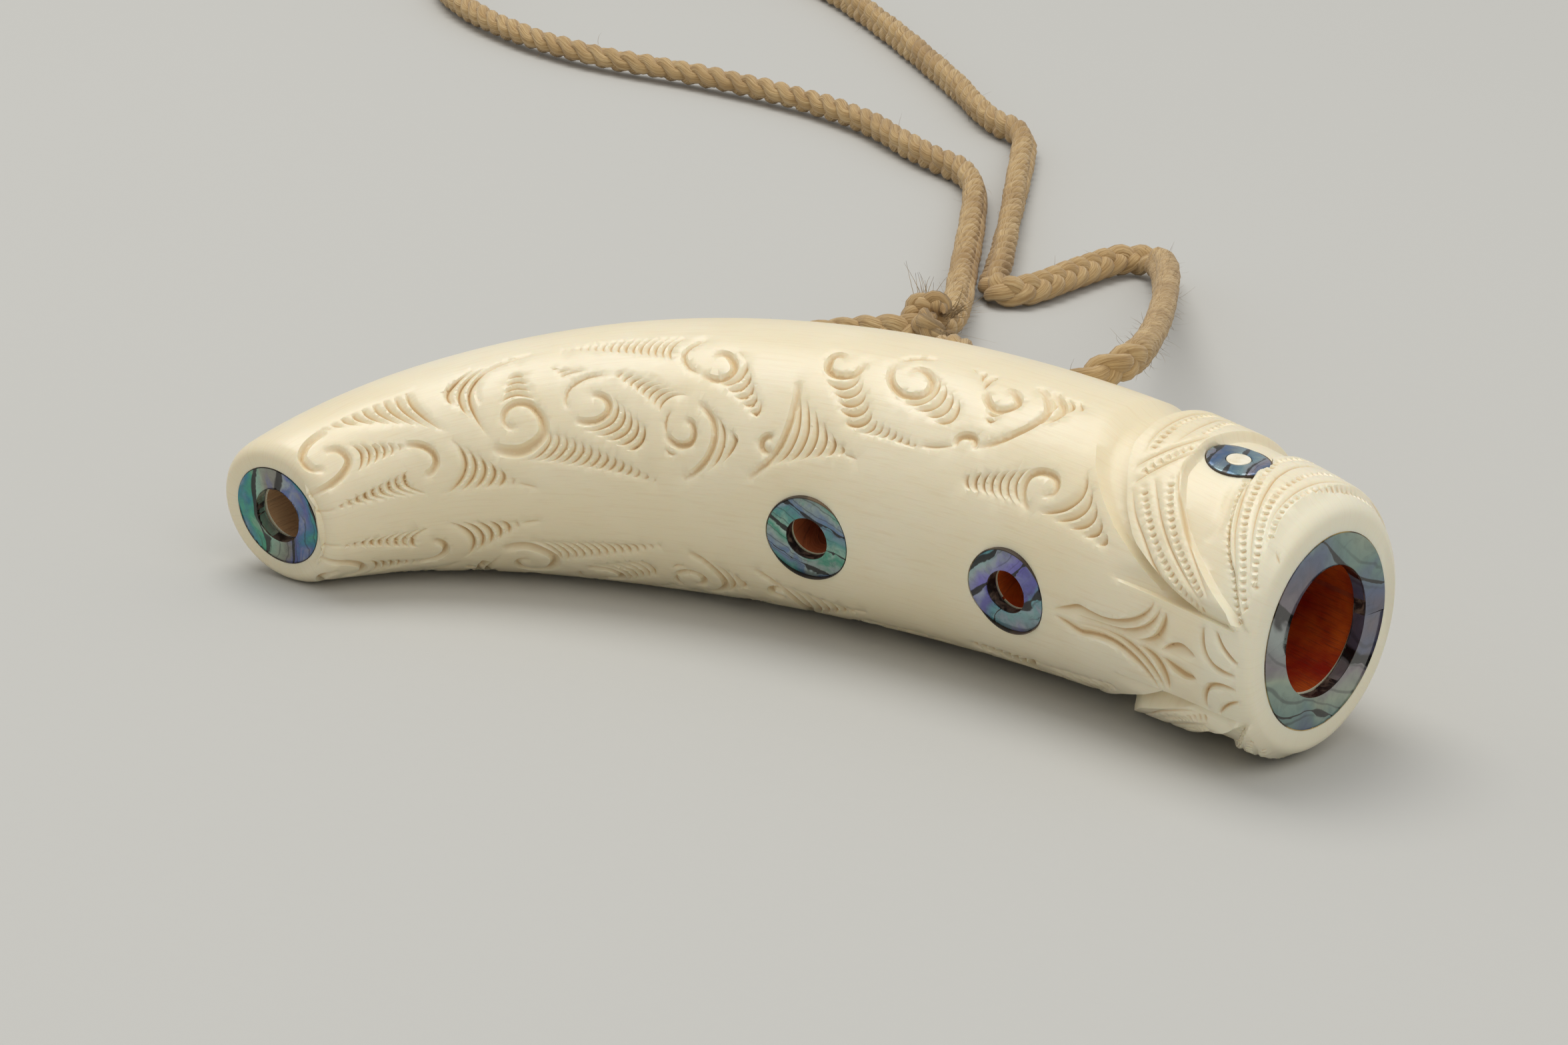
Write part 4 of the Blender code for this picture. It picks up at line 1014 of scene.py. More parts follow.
def carvedField():
    # Carving depth over the chart, the lines of its crests and feet, and places in the pits
    facts = carvingFacts
    field = np.zeros((int(chartLength / facts["cell"]) + 40, round(360 / facts["turn"])))
    lines, loneLines, loose = [], [], []
    for first, last, count, wallSide in scaleRows:
        carveRow(field, lines, first, last, count, wallSide)
    for places in scrollCuts:
        carveGroove(field, lines, places, facts["scrollWide"], facts["scrollDepth"])
    for places, towards in noseCuts:
        carveBlade(field, lines, places, facts["noseRamp"], facts["noseDepth"], towards)
    for places, wide, depth in thinCuts:
        carveGroove(field, lines, places, wide, depth)
    for places in headLines:
        carveGroove(field, lines, places, facts["lineWide"], facts["lineDepth"])
    for places in pitRows:
        carvePits(field, loose, places)
    for places, wide, depth in chips:
        carveGroove(field, loneLines, places, wide, depth, False)
    loose = np.array(loose)
    lines = loneLines + lines + [mirrored(path) for path in lines]
    return softened(field, 1), lines, np.vstack([loose, mirrored(loose)])


def borderLines():
    # Lines along the head's steps, so that they stay crisp
    facts = headFacts
    wall, edge = facts["step"], facts["noseEdge"]
    side = np.concatenate([edge + np.array(facts["noseLines"]),
                           np.arange(edge + facts["linesFrom"], 179, facts["linesStep"]), [180]])
    neck, brow = border(neckStart, side), border(browStart, side)
    cheek, lip = border(browEnd, side), border(lipStart, side)
    collar = border(collarEdge, side)
    rows = [neck + share * (brow - neck) for share in (0, 0.35, 0.7)]
    rows += [step + share * wall for step in (brow, cheek) for share in (-1 / 2, -1 / 6, 1 / 6, 1 / 2)]
    rows += [lip + share * wall for share in (0, 1 / 3, 2 / 3, 1)]
    rows += [collar - wall / 2, collar + wall / 2]
    rows = np.maximum.accumulate(np.array(rows) + np.arange(len(rows))[:, None] * 2e-3, axis=0)
    lines = [np.stack([row, turned], axis=1) for row in rows for turned in (side, -side)]
    run = np.arange(facts["valleyFrom"], *facts["valleyLines"])
    for share in (0, 0.5, 1):
        turned = edge + share * facts["valleyWall"]
        lines += [np.stack([run, 0 * run + sign * turned], axis=1) for sign in (1, -1)]
    return lines


def chartCorners(field, carved, loose):
    # Corners of the mesh on the chart, and the edges along its cuts and rims
    facts = meshFacts
    clear = facts["clear"]
    points, edges = [], []

    def addLine(places):
        first = len(points)
        points.extend(places)
        edges.extend((first + i, first + i + 1) for i in range(len(places) - 1))

    def addGrid(low, high, pace, turn, clearance, wanted=None):
        tree = treeOf(points)
        for row, station in enumerate(np.arange(low, high, pace)):
            columns = np.arange(-180, 180.1, turn)
            if row % 2:
                columns = np.concatenate([[-180], columns[:-1] + turn / 2, [180]])
            places = np.stack([0 * columns + station, columns], axis=1)
            if wanted is not None:
                places = places[readField(wanted, station + 0 * columns, columns) > 0.012]
            for place in places:
                gap = tree.find((*(place * facts["stretch"]), 0))[2]
                if gap > (clearance if abs(place[1]) < 180 else 0.2):
                    points.append(place)

    for path in carved:
        addLine(np.stack([blankStation(path), path[:, 1]], axis=1))
    for places in borderLines():
        addLine(places)
    around = np.linspace(-180, 180, facts["rimColumns"])
    tipEnd, mouthRun = bodyFacts["tipRound"][1] / mm, bodyFacts["mouthRound"][1] / mm
    rims = [tipEnd * share for share in facts["tipRim"]]
    rims += [chartLength - mouthRun * share for share in facts["mouthRim"]]
    for station in rims:
        addLine(np.stack([0 * around + station, around], axis=1))
    points.extend(np.stack([blankStation(loose), loose[:, 1]], axis=1))
    pace, headFrom = facts["cutGrid"], facts["headFrom"]
    addGrid(tipEnd + 0.5, facts["cutTo"], pace * facts["rowPace"],
            360 / round(facts["round"] / pace), clear["cut"], softened(field, 2))
    addGrid(headFrom, facts["headTo"], *facts["headGrid"], clear["head"])
    addGrid(tipEnd + 0.8, headFrom, *facts["nearGrid"], clear["near"], softened(field, 9))
    addGrid(tipEnd + 1.3, 128.5, *facts["wideGrid"], clear["wide"])
    return points, edges


def carvedBlank(field, carved, loose):
    points, edges = chartCorners(field, carved, loose)
    flat = [Vector(place * meshFacts["stretch"]) for place in points]
    found, _, faces, _, _, _ = delaunay_2d_cdt(flat, edges, [], 0, 1e-4)
    place = np.array([tuple(corner) for corner in found]) / meshFacts["stretch"]
    angle = np.radians(place[:, 1])
    station, radius = outerSurface(place[:, 0] * mm, angle)
    corners = bend(station, angle, radius - readField(field, station / mm, place[:, 1]) * mm)
    bm = bmesh.new()
    verts = [bm.verts.new(corner) for corner in corners]
    for face in faces:
        bm.faces.new([verts[i] for i in face])
    bmesh.ops.remove_doubles(bm, verts=bm.verts, dist=0.00002)
    ends = (mouthFrame, tipFrame)
    for vert in {vert for edge in bm.edges if edge.is_boundary for vert in edge.verts}:
        end = min(ends, key=lambda item: (item.translation - vert.co).length)
        local = end.inverted() @ vert.co
        vert.co = end @ Vector((local.x, local.y, 0))
    closeHoles(bm)
    bmesh.ops.triangulate(bm, faces=[face for face in bm.faces if len(face.verts) > 4])
    return bm


def tubeAlong(bm, stations, radii, sides):
    # Closed round tube along the spine
    bmesh.ops.create_circle(bm, segments=sides, radius=1)
    bmesh.ops.spin(bm, geom=bm.edges[:], cent=(0, 0, 0), axis=(0, 0, 1), dvec=(0, 0, 1), angle=0,
                   steps=len(stations) - 1)
    angles = (np.arange(sides) + 0.37) * 2 * np.pi / sides
    rings = [bend(np.full(sides, station), angles, radius) for station, radius in zip(stations, radii)]
    for vert in bm.verts:
        place = round(math.atan2(vert.co.y, vert.co.x) / (2 * math.pi) * sides) % sides
        vert.co = rings[round(vert.co.z)][place]
    closeHoles(bm)


def discAt(bm, frameAt, low, high, radius, segments, stretch=1.0):
    shape = Matrix.Translation((0, 0, (low + high) / 2)) @ Matrix.Diagonal((stretch, 1, 1, 1))
    bmesh.ops.create_cone(bm, cap_ends=True, segments=segments, radius1=radius, radius2=radius,
                          depth=high - low, matrix=frameAt @ shape)


def cutterOf(name, build):
    bm = bmesh.new()
    build(bm)
    bm.transform(levelToRow)
    cutter = bpy.data.objects.new(name, bareMesh(name, bm))
    bpy.context.scene.collection.objects.link(cutter)
    return cutter


def cutWith(mesh, cutters, operation="DIFFERENCE"):
    # The mesh with the cutters taken out of it, as a new mesh
    piece = bpy.data.objects.new("blank", mesh)
    bpy.context.scene.collection.objects.link(piece)
    for cutter in cutters:
        modifier = piece.modifiers.new(cutter.name, "BOOLEAN")
        modifier.operation, modifier.solver, modifier.object = operation, "EXACT", cutter
    bpy.context.view_layer.update()
    result = bpy.data.meshes.new_from_object(piece.evaluated_get(bpy.context.evaluated_depsgraph_get()))
    for thing in (piece, *cutters):
        data = thing.data
        bpy.data.objects.remove(thing)
        bpy.data.meshes.remove(data)
    return result


# Holes and seats
seatFacts = {
    "mouthInlay": 25.6 * mm,
    "tipInlay": 13.6 * mm,
    "ringThick": 1.6 * mm,
    "gap": 0.3 * mm,
    "shownGap": 0.15 * mm,
    "fingerInlay": 11.5 * mm,
    "fingerBore": 6.0 * mm,
    "fingerThick": 1.8 * mm,
    "fingerShares": (0.5296, 0.752),
    "eyeLong": 8.6 * mm,
    "eyeShort": 7.2 * mm,
    "eyeThick": 1.3 * mm,
    "pupil": 3.2 * mm,
    "eyeShare": 0.8985,
    "eyeAngle": 94.0,
    "tunnelBore": 7.6 * mm,
    "beyond": 8.8 * mm,
    "glueFit": 0.005 * mm,
    "boreSkin": 0.25 * mm,
    "holeSkin": 1.6 * mm,
    "smoothUnder": 0.7,
}


def bodyCutters():
    facts = seatFacts
    beyond = facts["beyond"]
    stations = np.linspace(-beyond, bodyFacts["length"] + beyond, 40)
    cutters = [cutterOf("bore", lambda bm: tubeAlong(bm, stations, boreRadius(stations), 72))]
    for name, frameAt, size in (("mouthSeat", mouthFrame, facts["mouthInlay"]),
                                ("tipSeat", tipFrame, facts["tipInlay"])):
        cutters.append(cutterOf(name, lambda bm: discAt(
            bm, frameAt, -facts["ringThick"] - facts["gap"], beyond, size / 2 + facts["gap"], 96)))
    for number, share in enumerate(facts["fingerShares"]):
        station = share * bodyFacts["length"]
        radius = float(bodyRadius(station))
        frameAt = sideFrame(station, 0, radius)
        cutters.append(cutterOf(f"fingerSeat{number}", lambda bm: discAt(
            bm, frameAt, -facts["fingerThick"] - facts["gap"], beyond,
            facts["fingerInlay"] / 2 + facts["gap"], 72)))
        cutters.append(cutterOf(f"fingerBore{number}", lambda bm: discAt(
            bm, frameAt, -radius, beyond, facts["fingerBore"] / 2, 48)))
    station = facts["eyeShare"] * bodyFacts["length"]
    for number, angle in enumerate((facts["eyeAngle"], -facts["eyeAngle"])):
        frameAt = sideFrame(station, angle, float(bodyRadius(station)))
        cutters.append(cutterOf(f"eyeSeat{number}", lambda bm: discAt(
            bm, frameAt, -facts["eyeThick"] - facts["gap"], beyond,
            facts["eyeShort"] / 2 + facts["gap"], 64, facts["eyeLong"] / facts["eyeShort"])))

    def tunnel(bm):
        ring = Matrix.Translation((-cordFacts["tunnelBend"], 0, 0))
        bmesh.ops.create_circle(bm, segments=40, radius=facts["tunnelBore"] / 2, matrix=ring)
        bmesh.ops.spin(bm, geom=bm.edges[:], cent=(0, 0, 0), axis=(0, 1, 0), angle=-math.pi, steps=30)
        closeHoles(bm)
        bm.transform(tunnelFrame())

    def floorBox(bm):
        size = 2 * bodyFacts["length"]
        bmesh.ops.create_cube(bm, size=size, matrix=Matrix.Translation((0, 0, -size / 2)))
        bm.transform(levelToRow.inverted())

    return cutters + [cutterOf("tunnel", tunnel), cutterOf("floorCut", floorBox)]


boneFacts = {
    "tones": ((0.840, 0.735, 0.505), (0.880, 0.800, 0.605)),
    "grain": (0.74, 0.59, 0.36),
    "fineGrain": (0.68, 0.52, 0.30),
    "polished": (0.84, 0.84, 0.70),
    "polishedFrom": 154.0,
    "polishedTo": 158.0,
    "cutShadeAndStain": (0.66, 0.45, 0.205),
    "shade": (0.78, 0.60, 0.34),
    "worn": (0.93, 0.87, 0.68),
    "dirt": (0.48, 0.29, 0.12),
    "pores": (0.36, 0.20, 0.085),
    "boreTan": ((0.48, 0.26, 0.11), (0.66, 0.42, 0.22)),
    "boreRed": ((0.33, 0.014, 0.002), (0.58, 0.10, 0.006)),
    "boreStreak": (0.10, 0.018, 0.006),
}


def boneMaterial():
    # Grain runs along the station; the cuts get painted shade and some stain, carved areas a painted
    # shade, and the crests turn pale from wear and a painted highlight
    facts = boneFacts
    shader = Shader("carved_bone")
    station, arc, depth = shader.parts(shader.attribute("carving"))
    hollow, around, _ = shader.parts(shader.attribute("hollow"))
    place = shader.objectPlace()
    grain = shader.noise(shader.join(station * 0.05, arc * 0.8, 0.0), 2.4, 4.0, 0.6, 0.5)
    finer = shader.noise(shader.join(station * 0.16, arc * 2.6, 0.0), 2.2, 3.0, 0.65, 0.6)
    cloud = shader.noise(place, 32.0, 3.0, 0.55)
    blotch = shader.noise(place, 95.0, 4.0, 0.6)
    specks = shader.noise(place, 900.0, 2.0, 0.7)
    polished = shader.rise(station, facts["polishedFrom"], facts["polishedTo"])
    dirt = shader.rise(hollow, 0.1, 0.4) * shader.rise(blotch, 0.42, 0.68)
    pores = shader.rise(hollow, 0.2, 0.4) * shader.rise(specks, 0.6, 0.68)
    colour = shader.mix(shader.rise(cloud, 0.35, 0.7), *facts["tones"])
    colour = shader.mix(shader.rise(grain, 0.48, 0.72) * 0.26, colour, facts["grain"])
    colour = shader.mix(shader.rise(finer, 0.52, 0.8) * 0.16, colour, facts["fineGrain"])
    colour = shader.mix(polished * 0.4, colour, facts["polished"])
    # Painted shade, with some stain: the cuts turn tan the deeper they lie below their surroundings
    colour = shader.mix(shader.rise(hollow, 0.02, 0.3) * 0.75, colour, facts["cutShadeAndStain"])
    colour = shader.mix(shader.rise(around, 0.1, 0.6) * 0.3, colour, facts["shade"])
    # Crests above their surroundings turn paler: partly wear, partly a painted highlight
    colour = shader.mix(shader.rise(hollow, -0.05, -0.3) * 0.5, colour, facts["worn"])
    colour = shader.mix(dirt * 0.55, colour, facts["dirt"])
    colour = shader.mix(pores * 0.5, colour, facts["pores"])
    height = grain * 0.2 + finer * 0.16 + specks * 0.1 + blotch * 0.4
    rough = 0.30 + shader.rise(depth, 0.05, 0.5) * 0.18 + shader.rise(blotch, 0.3, 0.8) * 0.10
    return shader.finish({
        "Base Color": colour, "Roughness": rough, "Normal": shader.bump(height, 0.12 * mm, 0.55),
        "Subsurface Weight": 0.22, "Subsurface Radius": (1.0, 0.55, 0.25),
        "Subsurface Scale": 2.2 * mm, "Specular IOR Level": 0.5, "Coat Weight": 0.12,
        "Coat Roughness": 0.22})


def boreMaterial():
    # Tan by the tip, and stained red towards the mouth
    facts = boneFacts
    shader = Shader("stained_bore")
    station, arc, _ = shader.parts(shader.attribute("carving"))
    streak = shader.noise(shader.join(station * 0.09, arc * 0.9, 0.0), 2.0, 4.0, 0.6, 0.4)
    cloud = shader.noise(shader.objectPlace(), 140.0, 3.0, 0.6)
    tan = shader.mix(cloud, *facts["boreTan"])
    red = shader.mix(shader.rise(cloud, 0.3, 0.7), *facts["boreRed"])
    colour = shader.mix(shader.rise(station, 4.0, 130.0), tan, red)
    colour = shader.mix(shader.rise(streak, 0.5, 0.75) * 0.6, colour, facts["boreStreak"])
    return shader.finish({
        "Base Color": colour, "Roughness": shader.rise(streak, 0.2, 0.8, 0.42, 0.7),
        "Normal": shader.bump(streak + cloud * 0.6, 0.25 * mm, 0.7),
        "Subsurface Weight": 0.1, "Subsurface Radius": (1.0, 0.4, 0.15),
        "Subsurface Scale": 1.5 * mm})


# Shell of each inlay: hues along its growth, the way the growth lines follow each other, how wide
# and how wavy they are, and where the piece was cut
shellFacts = {
    "mouth": ("mouth_paua", (
        (0.0, (0.22, 0.19, 0.20)), (0.2, (0.13, 0.11, 0.14)), (0.4, (0.10, 0.13, 0.22)),
        (0.6, (0.16, 0.26, 0.23)), (0.8, (0.30, 0.36, 0.27)), (1.0, (0.22, 0.18, 0.21))),
        (0.06, 0.42, 0.91), 9.0 * mm, 2.2, (0.013, 0.0, 0.0)),
    "tip": ("tip_paua", (
        (0.0, (0.30, 0.36, 0.27)), (0.2, (0.05, 0.34, 0.20)), (0.42, (0.03, 0.22, 0.30)),
        (0.62, (0.10, 0.12, 0.36)), (0.8, (0.24, 0.23, 0.20)), (1.0, (0.30, 0.36, 0.27))),
        (-0.8, -0.59, -0.06), 3.6 * mm, 2.0, (0.0, 0.021, 0.0)),
    "finger1": ("first_finger_paua", (
        (0.0, (0.26, 0.44, 0.36)), (0.2, (0.08, 0.28, 0.26)), (0.42, (0.13, 0.20, 0.34)),
        (0.62, (0.30, 0.38, 0.36)), (0.8, (0.05, 0.30, 0.20)), (1.0, (0.26, 0.44, 0.36))),
        (0.30, 0.54, 0.79), 2.9 * mm, 1.4, (0.0, 0.0, 0.031)),
    "finger2": ("second_finger_paua", (
        (0.0, (0.12, 0.11, 0.40)), (0.2, (0.20, 0.18, 0.50)), (0.42, (0.30, 0.34, 0.40)),
        (0.62, (0.10, 0.30, 0.34)), (0.8, (0.12, 0.12, 0.36)), (1.0, (0.12, 0.11, 0.40))),
        (-0.73, -0.25, 0.62), 3.8 * mm, 1.8, (0.041, 0.0, 0.0)),
    "eye": ("eye_paua", (
        (0.0, (0.14, 0.20, 0.26)), (0.2, (0.05, 0.14, 0.24)), (0.42, (0.16, 0.28, 0.32)),
        (0.62, (0.22, 0.20, 0.26)), (0.8, (0.05, 0.12, 0.26)), (1.0, (0.14, 0.20, 0.26))),
        (0.85, 0.2, -0.45), 2.6 * mm, 1.6, (0.0, 0.051, 0.0)),
}


def shellMaterial(name, stops, across, spread, warp, shift):
    # Growth lines run across one direction, drawn aside by a slow noise, and the hues follow them
    shader = Shader(name)
    place = shader.objectPlace()
    moved = shader.add("ShaderNodeVectorMath", {"operation": "ADD"}, {0: place, 1: shift})
    travel = shader.add("ShaderNodeVectorMath", {"operation": "DOT_PRODUCT"},
                        {0: moved, 1: across}, "Value")
    slow = shader.noise(moved, 0.30 / spread, 2.0, 0.4, 0.4)
    drift = shader.noise(moved, 0.8 / spread, 3.0, 0.55, 0.8)
    fine = shader.noise(moved, 3.2 / spread, 3.0, 0.6, 1.2)
    flow = travel / spread + slow * warp + drift * 0.35
    band = shader.maths("FRACT", flow)
    rim = 0.5 - shader.maths("ABSOLUTE", band - 0.5)
    thick = shader.rise(drift, 0.35, 0.65, 0.015, 0.16)
    lines = 1 - shader.rise(rim / thick, 0.6, 1.0)
    thin = 0.5 - shader.maths("ABSOLUTE", shader.maths("FRACT", flow * 3.0 + 0.3) - 0.5)
    threads = shader.rise(thin, 0.03, 0.1, 0.5, 0.0) * shader.rise(slow, 0.45, 0.6)
    hue = shader.maths("FRACT", flow * 0.43 + drift * 0.8)
    colour = shader.ramp(hue, stops)
    colour = shader.mix(shader.rise(fine, 0.4, 0.75) * 0.3, colour, (0.03, 0.045, 0.05))
    silver = shader.rise(band, 0.35, 0.9) * shader.rise(drift, 0.42, 0.66)
    colour = shader.mix(silver * 0.5, colour, (0.50, 0.62, 0.56))
    colour = shader.mix(threads, colour, (0.02, 0.02, 0.02))
    colour = shader.mix(lines * 0.96, colour, (0.010, 0.009, 0.008))
    return shader.finish({
        "Base Color": colour, "Roughness": shader.rise(fine, 0.3, 0.8, 0.14, 0.3),
        "Metallic": shader.rise(drift, 0.3, 0.7, 0.25, 0.6),
        "Normal": shader.bump(fine * 0.4 - lines * 0.5, 0.08 * mm, 0.35),
        "Coat Weight": 0.45, "Coat Roughness": 0.08})


def shellEdgeMaterial():
    shader = Shader("dark_shell_edge")
    streak = shader.noise(shader.objectPlace(), 700.0, 4.0, 0.65, 0.8)
    colour = shader.mix(shader.rise(streak, 0.42, 0.68), (0.012, 0.010, 0.010), (0.16, 0.11, 0.08))
    return shader.finish({"Base Color": colour, "Roughness": shader.rise(streak, 0.2, 0.8, 0.3, 0.6),
                          "Normal": shader.bump(streak, 0.15 * mm, 0.6)})


def glueMaterial(name, dark, light):
    shader = Shader(name)
    cloud = shader.noise(shader.objectPlace(), 130.0, 3.0, 0.6)
    colour = shader.mix(shader.rise(cloud, 0.42, 0.58), dark, light)
    return shader.finish({"Base Color": colour, "Roughness": shader.rise(cloud, 0.2, 0.8, 0.3, 0.5),
                          "Normal": shader.bump(cloud, 0.1 * mm, 0.5)})


def carvingLayer(mesh, field):
    # Station, arc and depth of each corner of the body for its materials, and how it lies
    # among its neighbours
    toLevel = levelToRow.inverted()
    places = np.array([tuple(toLevel @ vert.co) for vert in mesh.vertices])
    station, angle, radius = unbend(places)
    blank = blankStation(np.stack([station / mm, np.degrees(angle)], axis=1)) * mm
    outer = bodyRadius(blank) - rounding(blank) + headRelief(blank / mm, np.degrees(angle))
    skin = radius > outer - carvingFacts["skin"] * mm
    arc = angle * carvingFacts["arcRadius"]
    depth = readField(field, station / mm, np.degrees(angle)) * skin
    around = readField(softened(field, 7), station / mm, np.degrees(angle)) * skin
    for name, values in (("carving", (station / mm, arc, depth)),
                         ("hollow", (depth - around, around, 0 * depth))):
        layer = mesh.attributes.new(name, "FLOAT_VECTOR", "POINT")
        layer.data.foreach_set("vector", np.stack(values, axis=1).ravel().astype(np.float32))
    return station, angle, radius


def makeBody(bone, bore):
    field, lines, loose = carvedField()
    bm = carvedBlank(field, lines, loose)
    bm.transform(levelToRow)
    mesh = cutWith(bareMesh("carved_body", bm), bodyCutters())
    bm = bmesh.new()
    bm.from_mesh(mesh)
    bpy.data.meshes.remove(mesh)
    bmesh.ops.dissolve_degenerate(bm, edges=bm.edges, dist=0.000004)
    bmesh.ops.triangulate(bm, faces=[face for face in bm.faces if len(face.verts) > 4])
    body = newObject("carved_body", smoothMesh("carved_body", bm, meshFacts["smoothUnder"]),
                     bone, ["flute_body"])
    mesh = body.data
    mesh.materials.append(bore)
    station, angle, radius = carvingLayer(mesh, field)
    inner = radius < boreRadius(np.clip(station, 0, bodyFacts["length"])) + seatFacts["boreSkin"]
    for share in seatFacts["fingerShares"]:
        near = np.abs(station - share * bodyFacts["length"]) < seatFacts["fingerBore"] / 2 + 2 * mm
        near &= np.abs(angle) < 0.6
        inner |= near & (radius < bodyRadius(station) - seatFacts["holeSkin"])
    for face in mesh.polygons:
        if all(inner[i] for i in face.vertices):
            face.material_index = 1
    print("body triangles", len(mesh.polygons))


def finishInlay(name, bm, frameAt, slotName, material, replaced=(), plain=None, rimRound=0):
    # An inlay in its place, cut to the plain body's surface, with its rims rounded
    bm.transform(levelToRow @ frameAt)
    if plain:
        mesh = cutWith(bareMesh(name, bm), [plain()], "INTERSECT")
        bm = bmesh.new()
        bm.from_mesh(mesh)
        bpy.data.meshes.remove(mesh)
    if rimRound:
        rims = [edge for edge in bm.edges if len(edge.link_faces) == 2
                and edge.calc_face_angle(0) > 1.0]
        bmesh.ops.bevel(bm, geom=rims, offset=rimRound, segments=2, affect="EDGES", profile=0.5,
                        material=-1)
    return newObject(name, smoothMesh(name, bm, seatFacts["smoothUnder"]), material, replaced)


def washerAt(name, frameAt, low, high, outer, inner, segments, finish, stretch=1.0):
    bm = bmesh.new()
    profile = [(inner, 0, low), (outer, 0, low), (outer, 0, high), (inner, 0, high)]
    corners = [bm.verts.new(corner) for corner in profile]
    edges = [bm.edges.new((corners[i - 1], corners[i])) for i in range(4)]
    bmesh.ops.spin(bm, geom=edges, cent=(0, 0, 0), axis=(0, 0, 1), angle=2 * math.pi,
                   steps=segments, use_merge=True)
    bmesh.ops.remove_doubles(bm, verts=bm.verts, dist=0.000001)
    for vert in bm.verts:
        if vert.co.xy.length > (outer + inner) / 2:
            vert.co.x *= stretch
    bmesh.ops.recalc_face_normals(bm, faces=bm.faces)
    return finishInlay(name, bm, frameAt, *finish)


def darkenHole(ring, frameAt, hole, edgeMaterial):
    # The ring's layered edge shows inside its hole
    ring.data.materials.append(edgeMaterial)
    toRing = (levelToRow @ frameAt).inverted()
    for face in ring.data.polygons:
        inside = all((toRing @ ring.data.vertices[i].co).xy.length < hole + 0.02 * mm
                     for i in face.vertices)
        face.material_index = int(inside)


def plainSurface():
    stations = np.linspace(0, bodyFacts["length"], 120)
    return cutterOf("plain", lambda bm: tubeAlong(bm, stations, bodyRadius(stations), 180))


def makeInlays(shells, pupilBone, glues, edgeMaterial):
    facts = seatFacts
    gap = facts["gap"] - facts["shownGap"]
    glueGap = facts["gap"] - facts["glueFit"]
    rings = (("mouth", mouthFrame, facts["mouthInlay"] / 2, bodyFacts["mouthBore"] / 2),
             ("tip", tipFrame, facts["tipInlay"] / 2, bodyFacts["tipBore"] / 2))
    for name, frameAt, size, hole in rings:
        low = -facts["ringThick"]
        ring = washerAt(f"{name}_shell", frameAt, low, 0, size + gap, hole, 128,
                        ("shell", shells[name], [f"{name}_inlay"], None, 0.12 * mm))
        darkenHole(ring, frameAt, hole, edgeMaterial)
        washerAt(f"{name}_glue", frameAt, low, -0.04 * mm, size + glueGap, size + gap, 128,
                 ("bone", glues[name]))
    for number, share in enumerate(facts["fingerShares"], 1):
        station = share * bodyFacts["length"]
        frameAt = sideFrame(station, 0, float(bodyRadius(station)))
        low, size, hole = -facts["fingerThick"], facts["fingerInlay"] / 2, facts["fingerBore"] / 2
        ring = washerAt(f"finger_shell_{number}", frameAt, low, facts["beyond"], size + gap, hole, 96,
                        ("shell", shells[f"finger{number}"], [f"finger_inlay_{number}"], plainSurface,
                         0.10 * mm))
        darkenHole(ring, frameAt, hole, edgeMaterial)
        washerAt(f"finger_glue_{number}", frameAt, low, -0.3 * mm, size + glueGap, size + gap, 96,
                 ("bone", glues["finger"]))
    station = facts["eyeShare"] * bodyFacts["length"]
    stretch = facts["eyeLong"] / facts["eyeShort"]
    low, size, pupil = -facts["eyeThick"], facts["eyeShort"] / 2, facts["pupil"] / 2
    for side, angle in (("upper", facts["eyeAngle"]), ("lower", -facts["eyeAngle"])):
        frameAt = sideFrame(station, angle, float(bodyRadius(station)))
        washerAt(f"{side}_eye_shell", frameAt, low, facts["beyond"], size + gap, pupil + 0.1 * mm, 80,
                 ("shell", shells["eye"], [f"{side}_eye"], plainSurface, 0.08 * mm), stretch)
        bm = bmesh.new()
        discAt(bm, Matrix.Identity(4), low, facts["beyond"], pupil, 48)
        finishInlay(f"{side}_pupil_dot", bm, frameAt, "pupil", pupilBone, [f"{side}_pupil"],
                    plainSurface, 0.1 * mm)
        bm = bmesh.new()
        discAt(bm, Matrix.Identity(4), low - facts["gap"], -0.45 * mm, size + glueGap, 64, stretch)
        finishInlay(f"{side}_eye_glue", bm, frameAt, "bone", glues["eye"])


def pupilMaterial():
    shader = Shader("pupil_bone")
    cloud = shader.noise(shader.objectPlace(), 420.0, 3.0, 0.6)
    colour = shader.mix(shader.rise(cloud, 0.3, 0.7), (0.80, 0.72, 0.52), (0.90, 0.85, 0.70))
    return shader.finish({"Base Color": colour, "Roughness": shader.rise(cloud, 0.2, 0.8, 0.22, 0.4),
                          "Normal": shader.bump(cloud, 0.05 * mm, 0.4), "Coat Weight": 0.2})


# Floor and light
studioFacts = {
    "floorReach": 4.0,
    "world": (0.80, 0.80, 0.79),
    "worldStrength": 0.66,
    "keyPlace": (-0.45, 0.15, 1.5),
    "keySize": 1.2,
    "keyEnergy": 12.0,
    "fillPlace": (0.9, -0.4, 1.1),
    "fillSize": 1.2,
    "fillEnergy": 4.0,
    "floorTones": ((0.535, 0.532, 0.508), (0.556, 0.553, 0.530)),
    "floorGrain": (0.50, 0.495, 0.47),
}


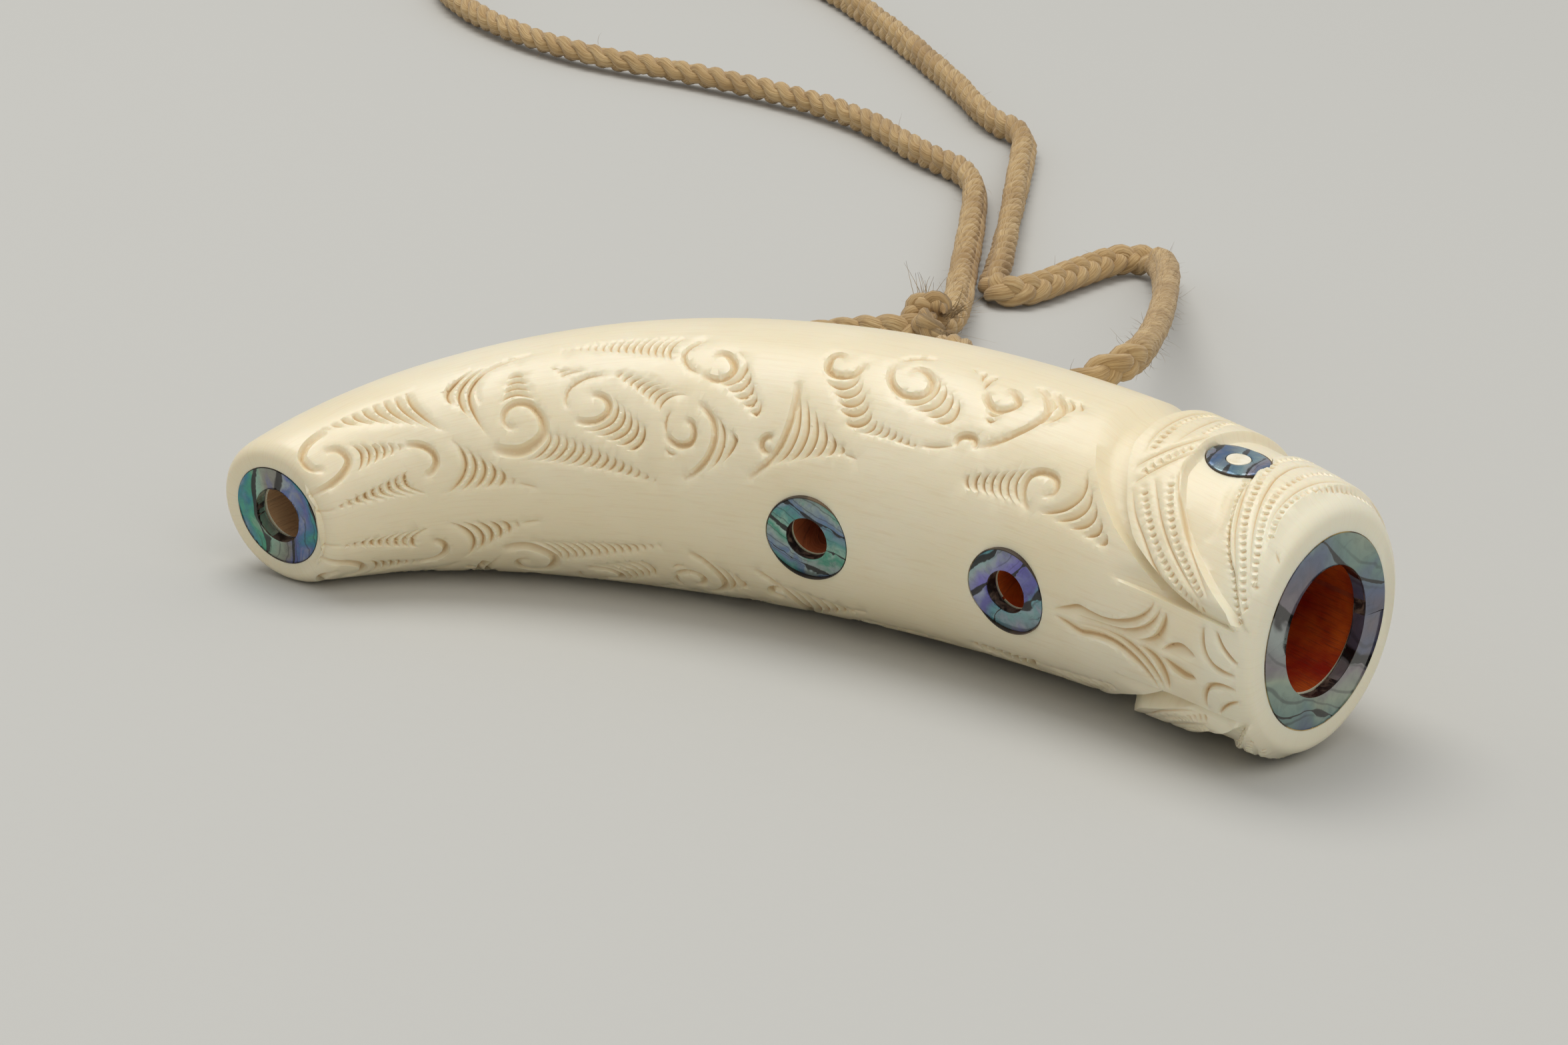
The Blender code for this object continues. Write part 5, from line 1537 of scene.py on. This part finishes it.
def floorMaterial():
    shader = Shader("pale_floor")
    place = shader.objectPlace()
    cloud = shader.noise(place, 3.0, 3.0, 0.5)
    grain = shader.noise(place, 420.0, 2.0, 0.6)
    colour = shader.mix(cloud, *studioFacts["floorTones"])
    colour = shader.mix(grain * 0.12, colour, studioFacts["floorGrain"])
    return shader.finish({"Base Color": colour, "Roughness": shader.rise(cloud, 0.3, 0.7, 0.82, 0.9),
                          "Normal": shader.bump(grain, 0.03 * mm, 0.3), "Specular IOR Level": 0.2})


def areaLight(name, place, size, energy, colour):
    data = bpy.data.lights.new(name, "AREA")
    data.shape, data.size, data.energy, data.color = "DISK", size, energy, colour
    light = bpy.data.objects.new(name, data)
    light.location = place
    light.rotation_euler = (-Vector(place)).to_track_quat("-Z", "Y").to_euler()
    bpy.context.scene.collection.objects.link(light)


def makeStudio():
    facts = studioFacts
    bm = bmesh.new()
    bmesh.ops.create_grid(bm, x_segments=1, y_segments=1, size=facts["floorReach"])
    mesh = bareMesh("floor", bm)
    mesh.materials.append(floorMaterial())
    floor = bpy.data.objects.new("floor", mesh)
    bpy.context.scene.collection.objects.link(floor)
    world = bpy.data.worlds.new("studio")
    bpy.context.scene.world = world
    world.use_nodes = True
    background = world.node_tree.nodes["Background"]
    background.inputs["Color"].default_value = (*facts["world"], 1)
    background.inputs["Strength"].default_value = facts["worldStrength"]
    areaLight("key", facts["keyPlace"], facts["keySize"], facts["keyEnergy"], (1.0, 0.985, 0.95))
    areaLight("fill", facts["fillPlace"], facts["fillSize"], facts["fillEnergy"], (1.0, 0.97, 0.93))
    bpy.context.scene.view_settings.view_transform = "Standard"


makeCamera()
print("camera placed")
makeCord(fibreMaterial())
print("cord made")
makeBody(boneMaterial(), boreMaterial())
print("body made")
amberGlue = glueMaterial("amber_glue", (0.07, 0.04, 0.02), (0.62, 0.43, 0.15))
darkGlue = glueMaterial("dark_glue", (0.035, 0.022, 0.014), (0.13, 0.085, 0.045))
glues = {"mouth": amberGlue, "tip": darkGlue, "finger": darkGlue, "eye": darkGlue}
shells = {place: shellMaterial(*facts) for place, facts in shellFacts.items()}
makeInlays(shells, pupilMaterial(), glues, shellEdgeMaterial())
print("inlays made")
makeStudio()
print("floor and light placed")
